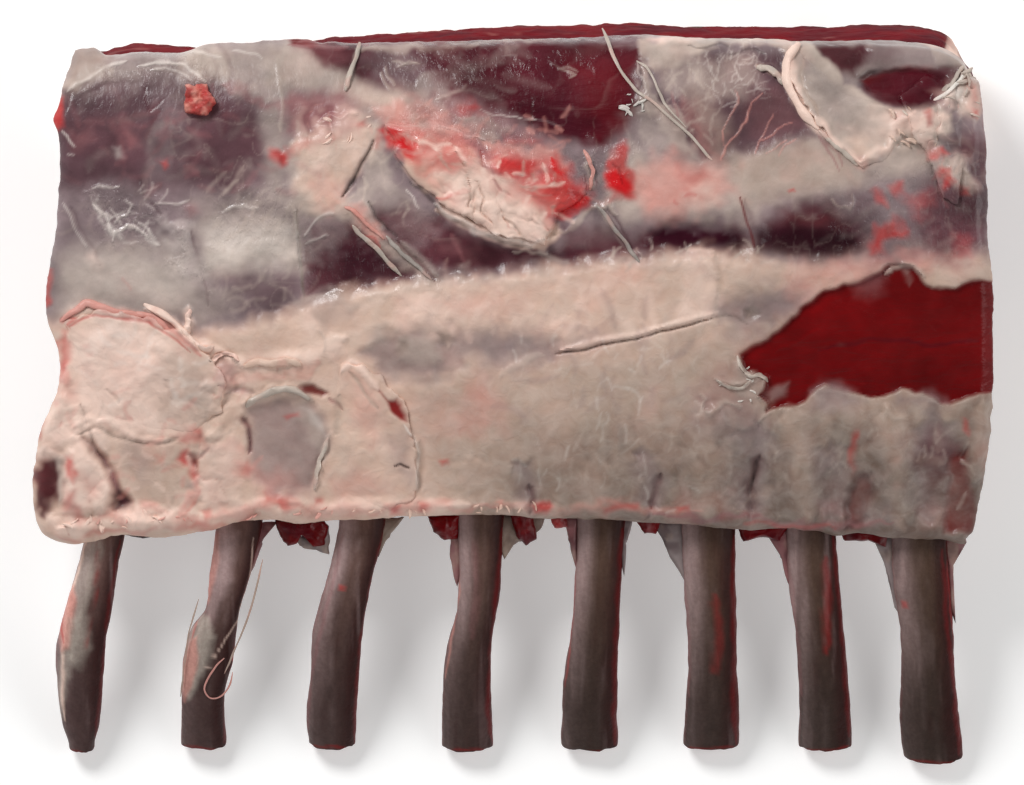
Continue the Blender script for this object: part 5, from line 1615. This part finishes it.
def make_skirts(colours, material):
    """Thin skirts of skin and lumps of meat that hang beside the ribs under the slab's edge, as one piece."""
    parts = []
    for i, (tissue, outline) in enumerate(SKIRTS):
        piece = dome(f"rib_skirt_{i}", 96, 36)
        spread, angle, c, centre, reach = dome_over(piece, outline)
        reach = reach + 0.5 * noise(np.cos(angle) * reach, np.sin(angle) * reach, 2.2, 500 + i, 3)
        x, y = spread_out(centre, angle, reach, spread)
        z_mid, _ = rib_height(y, TIP_YS[3])
        meaty = tissue in ("raw", "blood")
        thick = 2.2 if meaty else 0.9
        uneven = (0.7 if meaty else 0.35) * noise(x, y, 2.4, 530 + i, 3)
        z = z_mid + 0.4 + thick * np.sign(c) * np.abs(c) ** 0.6 + uneven
        paint = Paint(colours, x, y, tissue)
        paint.cover("shade", 0.45 * ease(0.2, 1, spread) * ease(-0.3, 0.5, noise(x, y, 4, 545 + i, 2)))
        paint.cover("rose" if meaty else "tallow", 0.5 * ease(0.1, 0.6, noise(x, y * 0.5, 2, 560 + i, 3)))
        paint.cover("plum_deep", 0.4 * ease(0, 0.5, noise(x, y, 3, 590 + i, 3)))
        parts.append(finish_piece(piece, np.column_stack([x, y, z]), paint, material, "fat"))
    return join_pieces(parts, "rib_skirts")


def make_scrap(colours, material):
    """The small scrap of meat on the silverskin."""
    outline, height = MEAT_SCRAP
    piece = dome("meat_scrap_lump", 120, 60)
    spread, angle, c, centre, reach = dome_over(piece, outline)
    reach = reach * (1 + 0.22 * noise(np.cos(angle) * 3, np.sin(angle) * 3, 1.4, 701, 3))
    x, y = spread_out(centre, angle, reach, spread)
    lumps = 1 + 0.5 * noise(x, y, 2, 702, 3)
    z = top_height(x, y) + np.where(c > 0, np.abs(c) ** 0.55 * height * lumps, -np.abs(c) ** 0.5)
    paint = Paint(colours, x, y, "scrap_red")
    paint.cover("scrap_pink", ease(-0.2, 0.5, noise(x, y, 1.8, 703, 3)))
    paint.cover("blood", 0.5 * ease(0.1, 0.6, noise(x, y, 1.4, 704, 2)))
    return finish_piece(piece, np.column_stack([x, y, z]), paint, material, "scrap", "meat_scrap")


def group(name, inputs, outputs):
    """An empty shader group with named sockets, and its input and output nodes."""
    tree = bpy.data.node_groups.new(name, "ShaderNodeTree")
    for socket, kind, value in inputs:
        made = tree.interface.new_socket(socket, in_out="INPUT", socket_type=kind)
        if value is not None:
            made.default_value = value
    for socket, kind in outputs:
        tree.interface.new_socket(socket, in_out="OUTPUT", socket_type=kind)
    return tree, tree.nodes.new("NodeGroupInput"), tree.nodes.new("NodeGroupOutput")


def wet_grain_group():
    """Grain for one tissue: stretched noise as a height, and the same noise as a mask."""
    tree, into, out = group(
        "Wet Grain",
        [("Vector", "NodeSocketVector", None), ("Size", "NodeSocketFloat", 2.0),
         ("Stretch", "NodeSocketFloat", 1.0), ("Detail", "NodeSocketFloat", 4.0),
         ("Sharpness", "NodeSocketFloat", 0.4)],
        [("Height", "NodeSocketFloat"), ("Mask", "NodeSocketFloat")],
    )
    nodes, links = tree.nodes, tree.links
    stretch = nodes.new("ShaderNodeCombineXYZ")
    links.new(into.outputs["Stretch"], stretch.inputs["X"])
    stretch.inputs["Y"].default_value = stretch.inputs["Z"].default_value = 1
    scale = nodes.new("ShaderNodeVectorMath")
    scale.operation = "MULTIPLY"
    links.new(into.outputs["Vector"], scale.inputs[0])
    links.new(stretch.outputs[0], scale.inputs[1])
    per_size = nodes.new("ShaderNodeMath")
    per_size.operation = "DIVIDE"
    per_size.inputs[0].default_value = 1000
    links.new(into.outputs["Size"], per_size.inputs[1])
    grain = nodes.new("ShaderNodeTexNoise")
    links.new(scale.outputs[0], grain.inputs["Vector"])
    links.new(per_size.outputs[0], grain.inputs["Scale"])
    links.new(into.outputs["Detail"], grain.inputs["Detail"])
    grain.inputs["Roughness"].default_value = 0.55
    grain.inputs["Distortion"].default_value = 0.4
    edge = nodes.new("ShaderNodeMapRange")
    half = nodes.new("ShaderNodeMath")
    half.operation = "MULTIPLY"
    half.inputs[1].default_value = 0.5
    links.new(into.outputs["Sharpness"], half.inputs[0])
    low = nodes.new("ShaderNodeMath")
    low.operation = "ADD"
    low.inputs[1].default_value = 0.1
    links.new(half.outputs[0], low.inputs[0])
    high = nodes.new("ShaderNodeMath")
    high.operation = "SUBTRACT"
    high.inputs[0].default_value = 0.9
    links.new(half.outputs[0], high.inputs[1])
    links.new(grain.outputs["Fac"], edge.inputs["Value"])
    links.new(low.outputs[0], edge.inputs["From Min"])
    links.new(high.outputs[0], edge.inputs["From Max"])
    links.new(grain.outputs["Fac"], out.inputs["Height"])
    links.new(edge.outputs[0], out.inputs["Mask"])
    return tree


class Nodes:
    """Short ways to place and join the nodes of one material."""

    def __init__(self, name):
        self.material = bpy.data.materials.new(name)
        self.material.use_nodes = True
        self.tree = self.material.node_tree
        self.shader = self.tree.nodes["Principled BSDF"]

    def add(self, kind, **settings):
        """A new node of this kind, with its settings."""
        node = self.tree.nodes.new(kind)
        for key, value in settings.items():
            setattr(node, key, value)
        return node

    def join(self, source, target):
        """Link two sockets."""
        self.tree.links.new(source, target)

    def use(self, tree, vector, **values):
        """The group with this material's own values."""
        node = self.add("ShaderNodeGroup", node_tree=tree)
        self.join(vector, node.inputs["Vector"])
        for key, value in values.items():
            node.inputs[key.replace("_", " ")].default_value = value
        return node

    def feed(self, node, values):
        """Give each numbered input a value or link it to a socket."""
        for index, value in values.items():
            if hasattr(value, "is_linked"):
                self.join(value, node.inputs[index])
            else:
                node.inputs[index].default_value = value

    def reckon(self, operation, first, second):
        """One step of arithmetic."""
        node = self.add("ShaderNodeMath", operation=operation)
        self.feed(node, {0: first, 1: second})
        return node.outputs[0]

    def plus(self, first, second):
        return self.reckon("ADD", first, second)

    def minus(self, first, second):
        return self.reckon("SUBTRACT", first, second)

    def times(self, first, second):
        return self.reckon("MULTIPLY", first, second)

    def mix(self, factor, first, second, blend="MIX"):
        """Two colours mixed."""
        node = self.add("ShaderNodeMix", data_type="RGBA", blend_type=blend)
        self.feed(node, {0: factor, 6: first, 7: second})
        return node.outputs[2]

    def darken(self, colour, shade):
        """The colour times a shade of grey."""
        grey = self.add("ShaderNodeCombineColor")
        for socket in grey.inputs:
            self.join(shade, socket)
        return self.mix(1.0, colour, grey.outputs[0], "MULTIPLY")

    def emboss(self, height, distance, strength):
        """Bump the surface by a height."""
        relief_node = self.add("ShaderNodeBump")
        relief_node.inputs["Distance"].default_value = distance
        relief_node.inputs["Strength"].default_value = strength
        self.join(height, relief_node.inputs["Height"])
        self.join(relief_node.outputs["Normal"], self.shader.inputs["Normal"])


def flesh_material(name, grain_group, colours, roughness, wetness, bump, specular):
    """Meat, fat and skin in one: the painted colour, with each tissue's own grain, sheen and relief."""
    n = Nodes(name)
    place = n.add("ShaderNodeTexCoord").outputs["Object"]
    flesh = n.add("ShaderNodeAttribute", attribute_name="flesh").outputs["Color"]
    finish = n.add("ShaderNodeAttribute", attribute_name="finish")
    parts = n.add("ShaderNodeSeparateColor")
    n.join(finish.outputs["Color"], parts.inputs[0])
    skin, fat, raw = parts.outputs
    gloss = finish.outputs["Alpha"]
    crumb = n.use(grain_group, place, Size=3.2, Detail=4.0, Sharpness=0.5)
    cloud = n.use(grain_group, place, Size=7.0, Detail=3.0, Sharpness=0.45)
    film = n.use(grain_group, place, Size=9.0, Stretch=0.7, Detail=8.0, Sharpness=0.25)
    crease = n.use(grain_group, place, Size=1.6, Stretch=1.6, Detail=3.0, Sharpness=0.5)
    fibre = n.use(grain_group, place, Size=2.4, Stretch=0.3, Detail=3.0, Sharpness=0.4)
    pale = (*tissue_colour(colours, "white"), 1)
    red = (*tissue_colour(colours, "rose"), 1)
    colour = n.mix(n.times(n.times(crumb.outputs["Mask"], fat), 0.14), flesh, pale)
    colour = n.mix(n.times(n.times(cloud.outputs["Mask"], fat), 0.12), colour, red)
    dark = n.times(n.times(fibre.outputs["Mask"], raw), 0.25)
    colour = n.mix(dark, colour, (0.6, 0.4, 0.42, 1), "MULTIPLY")
    shade = n.plus(n.times(cloud.outputs["Height"], 0.4), 0.8)
    wisps = n.times(n.times(n.minus(film.outputs["Height"], 0.5), skin), 1.1)
    colour = n.darken(colour, n.times(shade, n.plus(wisps, 1)))
    n.join(colour, n.shader.inputs["Base Color"])
    rough = n.plus(n.times(film.outputs["Height"], 0.2), roughness - 0.1)
    rough = n.plus(rough, n.times(fat, 0.12))
    rough = n.minus(rough, n.times(gloss, 0.16))
    n.join(rough, n.shader.inputs["Roughness"])
    height = n.plus(n.times(crumb.outputs["Height"], fat), n.times(fibre.outputs["Height"], raw))
    height = n.plus(height, n.times(n.times(crease.outputs["Height"], skin), 0.35))
    height = n.plus(height, n.times(n.times(crease.outputs["Height"], gloss), 1.6))
    n.emboss(height, 0.0006, bump)
    n.shader.inputs["Specular IOR Level"].default_value = specular
    n.join(n.plus(n.times(skin, wetness), n.times(gloss, 0.5)), n.shader.inputs["Coat Weight"])
    n.shader.inputs["Coat Roughness"].default_value = 0.12
    return n.material


def bone_material(name, grain_group):
    """Scraped rib bone: smooth, with faint streaks along it and thin skin that still clings."""
    n = Nodes(name)
    place = n.add("ShaderNodeTexCoord").outputs["Object"]
    flesh = n.add("ShaderNodeAttribute", attribute_name="flesh").outputs["Color"]
    turned = n.add("ShaderNodeMapping")
    turned.inputs["Rotation"].default_value = (0, 0, math.pi / 2)
    n.join(place, turned.inputs["Vector"])
    streak = n.use(grain_group, turned.outputs[0], Size=1.3, Stretch=0.12, Detail=4.0, Sharpness=0.5)
    speck = n.use(grain_group, place, Size=0.8, Detail=3.0, Sharpness=0.7)
    colour = n.darken(flesh, n.plus(n.times(streak.outputs["Height"], 0.7), 0.65))
    colour = n.mix(n.times(speck.outputs["Mask"], 0.2), colour, (0.6, 0.5, 0.5, 1), "MULTIPLY")
    n.join(colour, n.shader.inputs["Base Color"])
    n.join(n.plus(n.times(speck.outputs["Height"], 0.3), 0.3), n.shader.inputs["Roughness"])
    n.emboss(n.plus(streak.outputs["Height"], speck.outputs["Height"]), 0.0002, 0.6)
    n.shader.inputs["Specular IOR Level"].default_value = BONE_SPECULAR
    return n.material


def colour_setting(name, description, srgb):
    """A colour the user can change."""
    return FloatVectorProperty(
        name=name, description=description, default=tuple(float(c) for c in linear(srgb)), size=3,
        min=0, max=1, subtype="COLOR",
    )


class RackColours(bpy.types.PropertyGroup):
    """The colours of the tissues, from which everything is painted."""

    skin: colour_setting("Silverskin", "Thin grey skin over the loin", TISSUES["skin"][0])
    skin_dark: colour_setting("Dark silverskin", "Skin with dark meat under it", TISSUES["skin_dark"][0])
    skin_pale: colour_setting("Pale silverskin", "Thick skin", TISSUES["skin_pale"][0])
    veil: colour_setting("Veil", "Whitish film lying over the rest", TISSUES["veil"][0])
    white: colour_setting("White thread", "Threads and edges of film", TISSUES["white"][0])
    muscle: colour_setting("Muscle under skin", "Meat close under thin skin", TISSUES["muscle"][0])
    plum: colour_setting("Plum", "Purplish meat under skin", TISSUES["plum"][0])
    plum_deep: colour_setting("Deep plum", "The darkest meat under skin", TISSUES["plum_deep"][0])
    cream: colour_setting("Cream fat", "The main colour of the fat", TISSUES["cream"][0])
    ivory: colour_setting("Ivory fat", "The palest fat", TISSUES["ivory"][0])
    tallow: colour_setting("Tallow", "Greyer fat along the ribs", TISSUES["tallow"][0])
    drab: colour_setting("Drab fat", "Fat in hollows", TISSUES["drab"][0])
    dun: colour_setting("Dun fat", "The darkest fat, between the ribs", TISSUES["dun"][0])
    slate: colour_setting("Slate skin", "Cool grey skin over fat", TISSUES["slate"][0])
    raw: colour_setting("Raw meat", "Bare lean meat", TISSUES["raw"][0])
    raw_light: colour_setting("Light raw meat", "Bare lean meat where it is paler", TISSUES["raw_light"][0])
    blood: colour_setting("Blood stain", "Blood soaked into fat", TISSUES["blood"][0])
    blood_bright: colour_setting("Bright blood", "The brightest spots of blood", TISSUES["blood_bright"][0])
    pink: colour_setting("Pink fat", "Fat with some blood in it", TISSUES["pink"][0])
    rose: colour_setting("Rose skin", "Pinkish skin", TISSUES["rose"][0])
    shade: colour_setting("Crevice", "Deep cuts and crevices", TISSUES["shade"][0])
    bone_rosy: colour_setting("Rosy bone", "Rib bone at the blade end", TISSUES["bone_rosy"][0])
    bone_umber: colour_setting("Brown bone", "Rib bone towards the loin", TISSUES["bone_umber"][0])
    bone_plum: colour_setting("Plum bone", "Tips of the rosy ribs", TISSUES["bone_plum"][0])
    bone_dark: colour_setting("Dark bone", "Tips of the brown ribs", TISSUES["bone_dark"][0])
    bone_grey: colour_setting("Grey bone", "Thin skin left on bone", TISSUES["bone_grey"][0])
    bone_red: colour_setting("Red bone", "The dark right side of each rib", TISSUES["bone_red"][0])
    scrap_red: colour_setting("Scrap red", "The scrap of meat", TISSUES["scrap_red"][0])
    scrap_pink: colour_setting("Scrap pink", "Fat on the scrap of meat", TISSUES["scrap_pink"][0])
    floor: colour_setting("Floor", "The plain floor", (236, 236, 235))


class RackSizes(bpy.types.PropertyGroup):
    """The sizes and finishes a user would change."""

    skin_roughness: FloatProperty(
        name="Skin roughness", description="How dull the wet surface is", default=0.28, min=0.05, max=1,
        subtype="FACTOR",
    )
    wetness: FloatProperty(
        name="Wetness", description="The film of water on the meat", default=0.18, min=0, max=1,
        subtype="FACTOR",
    )
    grain: FloatProperty(
        name="Grain", description="How strong the finest grain is", default=0.7, min=0, max=2,
        subtype="FACTOR",
    )
    pad_height: FloatProperty(
        name="Pad height", description="How high the fat pad stands", default=2.2 * MM, min=0, max=0.006,
        subtype="DISTANCE", unit="LENGTH",
    )
    flap_height: FloatProperty(
        name="Flap height", description="How high the centre flap stands", default=3 * MM, min=0, max=0.006,
        subtype="DISTANCE", unit="LENGTH",
    )
    key_power: FloatProperty(
        name="Key light", description="The large soft light on the left", default=8.4, min=0, unit="POWER",
    )
    fill_power: FloatProperty(
        name="Fill light", description="The weaker light on the right", default=2.8, min=0, unit="POWER",
    )


def studio_world():
    """Soft light from all round, bright near the horizon and dim overhead, to keep the colour of wet tops."""
    world = bpy.data.worlds.new("Soft Studio")
    world.use_nodes = True
    nodes, links = world.node_tree.nodes, world.node_tree.links
    way = nodes.new("ShaderNodeTexCoord")
    parts = nodes.new("ShaderNodeSeparateXYZ")
    dim = nodes.new("ShaderNodeMapRange")
    dim.inputs["From Min"].default_value, dim.inputs["From Max"].default_value = 0.1, 0.95
    dim.inputs["To Min"].default_value, dim.inputs["To Max"].default_value = 0.75, 0.08
    links.new(way.outputs["Generated"], parts.inputs[0])
    links.new(parts.outputs["Z"], dim.inputs["Value"])
    links.new(dim.outputs[0], nodes["Background"].inputs["Strength"])
    nodes["Background"].inputs["Color"].default_value = (1, 1, 1, 1)
    return world


def shared(name, build):
    """The material or group of this name, built the first time it is asked for."""
    kept = bpy.data.materials.get(name) or bpy.data.node_groups.get(name)
    return kept or build(name)


def flesh(context):
    """The wet surface of the fat and the skin."""
    sizes, colours = context.scene.rack_sizes, context.scene.rack_colours
    grain = shared("Wet Grain", lambda _: wet_grain_group())
    return shared("Wet Flesh", lambda name: flesh_material(
        name, grain, colours, sizes.skin_roughness, sizes.wetness, sizes.grain, SKIN_SPECULAR,
    ))


def cut_meat(context):
    """The flesh of the cut faces, which are duller than the skin."""
    sizes, colours = context.scene.rack_sizes, context.scene.rack_colours
    grain = shared("Wet Grain", lambda _: wet_grain_group())
    return shared("Cut Meat", lambda name: flesh_material(
        name, grain, colours, CUT_ROUGHNESS, 0, sizes.grain, CUT_SPECULAR,
    ))


def bone():
    """The surface of the ribs."""
    grain = shared("Wet Grain", lambda _: wet_grain_group())
    return shared("Rib Bone", lambda name: bone_material(name, grain))


class RACK_OT_lean(bpy.types.Operator):
    """Make the meat under the fat, with its cut ends and lined underside"""

    bl_idname = "rack.lean"
    bl_label = "Lean meat"

    def execute(self, context):
        make_lean(context.scene.rack_colours, cut_meat(context))
        return {"FINISHED"}


class RACK_OT_cover(bpy.types.Operator):
    """Make both halves of the fat and silverskin over the meat"""

    bl_idname = "rack.cover"
    bl_label = "Fat cover"

    def execute(self, context):
        colours = context.scene.rack_colours
        make_cover("fat_cover_chine_half", colours, flesh(context), SEAM, 1, 146)
        make_cover("fat_cover_rib_half", colours, flesh(context), -1, SEAM + 0.02, 146)
        return {"FINISHED"}


class RACK_OT_loose_fat(bpy.types.Operator):
    """Make the pad, the tab, the flaps and the lumps of fat that lie on the cover"""

    bl_idname = "rack.loose_fat"
    bl_label = "Loose fat"

    def execute(self, context):
        sizes, colours = context.scene.rack_sizes, context.scene.rack_colours
        heights = {"fat_pad_left": sizes.pad_height / MM, "fat_flap_centre": sizes.flap_height / MM}
        for i, (name, (outline, height, free_way)) in enumerate(LOOSE_PIECES.items()):
            height = heights.get(name, height)
            make_loose_piece(name, outline, height, free_way, colours, flesh(context), seed=800 + 20 * i)
        return {"FINISHED"}


class RACK_OT_ribs(bpy.types.Operator):
    """Make one bar of bone and bend a copy of it into each of the eight ribs"""

    bl_idname = "rack.ribs"
    bl_label = "Ribs"

    def execute(self, context):
        bar = make_bar("rib_bar", 72, RIB_RINGS)
        for number in range(len(RIBS)):
            make_rib(number, bar, context.scene.rack_colours, bone())
        bpy.data.objects.remove(bar)
        return {"FINISHED"}


class RACK_OT_strands(bpy.types.Operator):
    """Make the threads, rolled rims and shreds that lie on the slab and the ribs"""

    bl_idname = "rack.strands"
    bl_label = "Strands"

    def execute(self, context):
        make_strands(context.scene.rack_colours, flesh(context))
        return {"FINISHED"}


class RACK_OT_crumbs(bpy.types.Operator):
    """Make one lump and copy it to every crumb of fat and meat that lies on the slab"""

    bl_idname = "rack.crumbs"
    bl_label = "Crumbs"

    def execute(self, context):
        make_crumbs(context.scene.rack_colours, flesh(context))
        return {"FINISHED"}


class RACK_OT_skirts(bpy.types.Operator):
    """Make the thin skirts of skin and the drops of blood beside the ribs"""

    bl_idname = "rack.skirts"
    bl_label = "Rib skirts"

    def execute(self, context):
        make_skirts(context.scene.rack_colours, flesh(context))
        return {"FINISHED"}


class RACK_OT_scrap(bpy.types.Operator):
    """Make the scrap of meat that lies on the silverskin"""

    bl_idname = "rack.scrap"
    bl_label = "Meat scrap"

    def execute(self, context):
        make_scrap(context.scene.rack_colours, flesh(context))
        return {"FINISHED"}


class RACK_OT_stage(bpy.types.Operator):
    """Make the plain floor, the soft lights and the camera looking straight down"""

    bl_idname = "rack.stage"
    bl_label = "Stage"

    def execute(self, context):
        scene, sizes, colours = context.scene, context.scene.rack_sizes, context.scene.rack_colours
        deselect_all()
        bpy.ops.mesh.primitive_plane_add(size=6)
        floor = context.object
        floor.name = "floor"
        n = Nodes("Plain Floor")
        n.shader.inputs["Base Color"].default_value = (*colours.floor, 1)
        n.shader.inputs["Roughness"].default_value = 0.9
        n.shader.inputs["Specular IOR Level"].default_value = 0.1
        n.shader.inputs["Emission Color"].default_value = (1, 1, 1, 1)
        n.shader.inputs["Emission Strength"].default_value = 0.3
        floor.data.materials.append(n.material)
        scene.world = studio_world()
        for name, place, size, power in (
            ("key light", (-0.45, 0.62, 0.8), 0.4, sizes.key_power),
            ("fill light", (0.75, -0.1, 0.7), 0.7, sizes.fill_power),
        ):
            bpy.ops.object.light_add(type="AREA", location=place)
            light = context.object
            light.name = name
            light.data.energy = power
            light.data.shape = "DISK"
            light.data.size = size
            light.rotation_euler = Vector(place).to_track_quat("Z", "Y").to_euler()
        bpy.ops.object.camera_add(location=(-0.0002, 0.0007, CAMERA_HEIGHT), rotation=(0, 0, 0))
        camera = context.object
        camera.name = "overhead camera"
        camera.data.sensor_width = SENSOR_WIDTH
        camera.data.lens = SENSOR_WIDTH * (CAMERA_HEIGHT - FOCUS_HEIGHT) / VIEW_WIDTH
        scene.camera = camera
        scene.view_settings.view_transform = "Standard"
        return {"FINISHED"}


class RACK_PT_panel(bpy.types.Panel):
    """The steps that make the rack, with its sizes and colours"""

    bl_idname = "RACK_PT_panel"
    bl_label = "Rack of Lamb"
    bl_space_type = "VIEW_3D"
    bl_region_type = "UI"
    bl_category = "Rack of Lamb"

    def draw(self, context):
        for operator in STEPS:
            self.layout.operator(operator.bl_idname)
        for settings in (context.scene.rack_sizes, context.scene.rack_colours):
            for name in settings.__annotations__:
                self.layout.prop(settings, name)


STEPS = (
    RACK_OT_lean, RACK_OT_cover, RACK_OT_loose_fat, RACK_OT_strands, RACK_OT_crumbs, RACK_OT_ribs,
    RACK_OT_skirts, RACK_OT_scrap, RACK_OT_stage,
)
CLASSES = (RackColours, RackSizes, *STEPS, RACK_PT_panel)


def register():
    for cls in CLASSES:
        bpy.utils.register_class(cls)
    bpy.types.Scene.rack_colours = PointerProperty(type=RackColours)
    bpy.types.Scene.rack_sizes = PointerProperty(type=RackSizes)


def unregister():
    del bpy.types.Scene.rack_sizes
    del bpy.types.Scene.rack_colours
    for cls in reversed(CLASSES):
        bpy.utils.unregister_class(cls)


def main():
    register()
    bpy.ops.rack.lean()
    bpy.ops.rack.cover()
    bpy.ops.rack.loose_fat()
    bpy.ops.rack.strands()
    bpy.ops.rack.crumbs()
    bpy.ops.rack.ribs()
    bpy.ops.rack.skirts()
    bpy.ops.rack.scrap()
    bpy.ops.rack.stage()


if __name__ == "__main__":
    main()
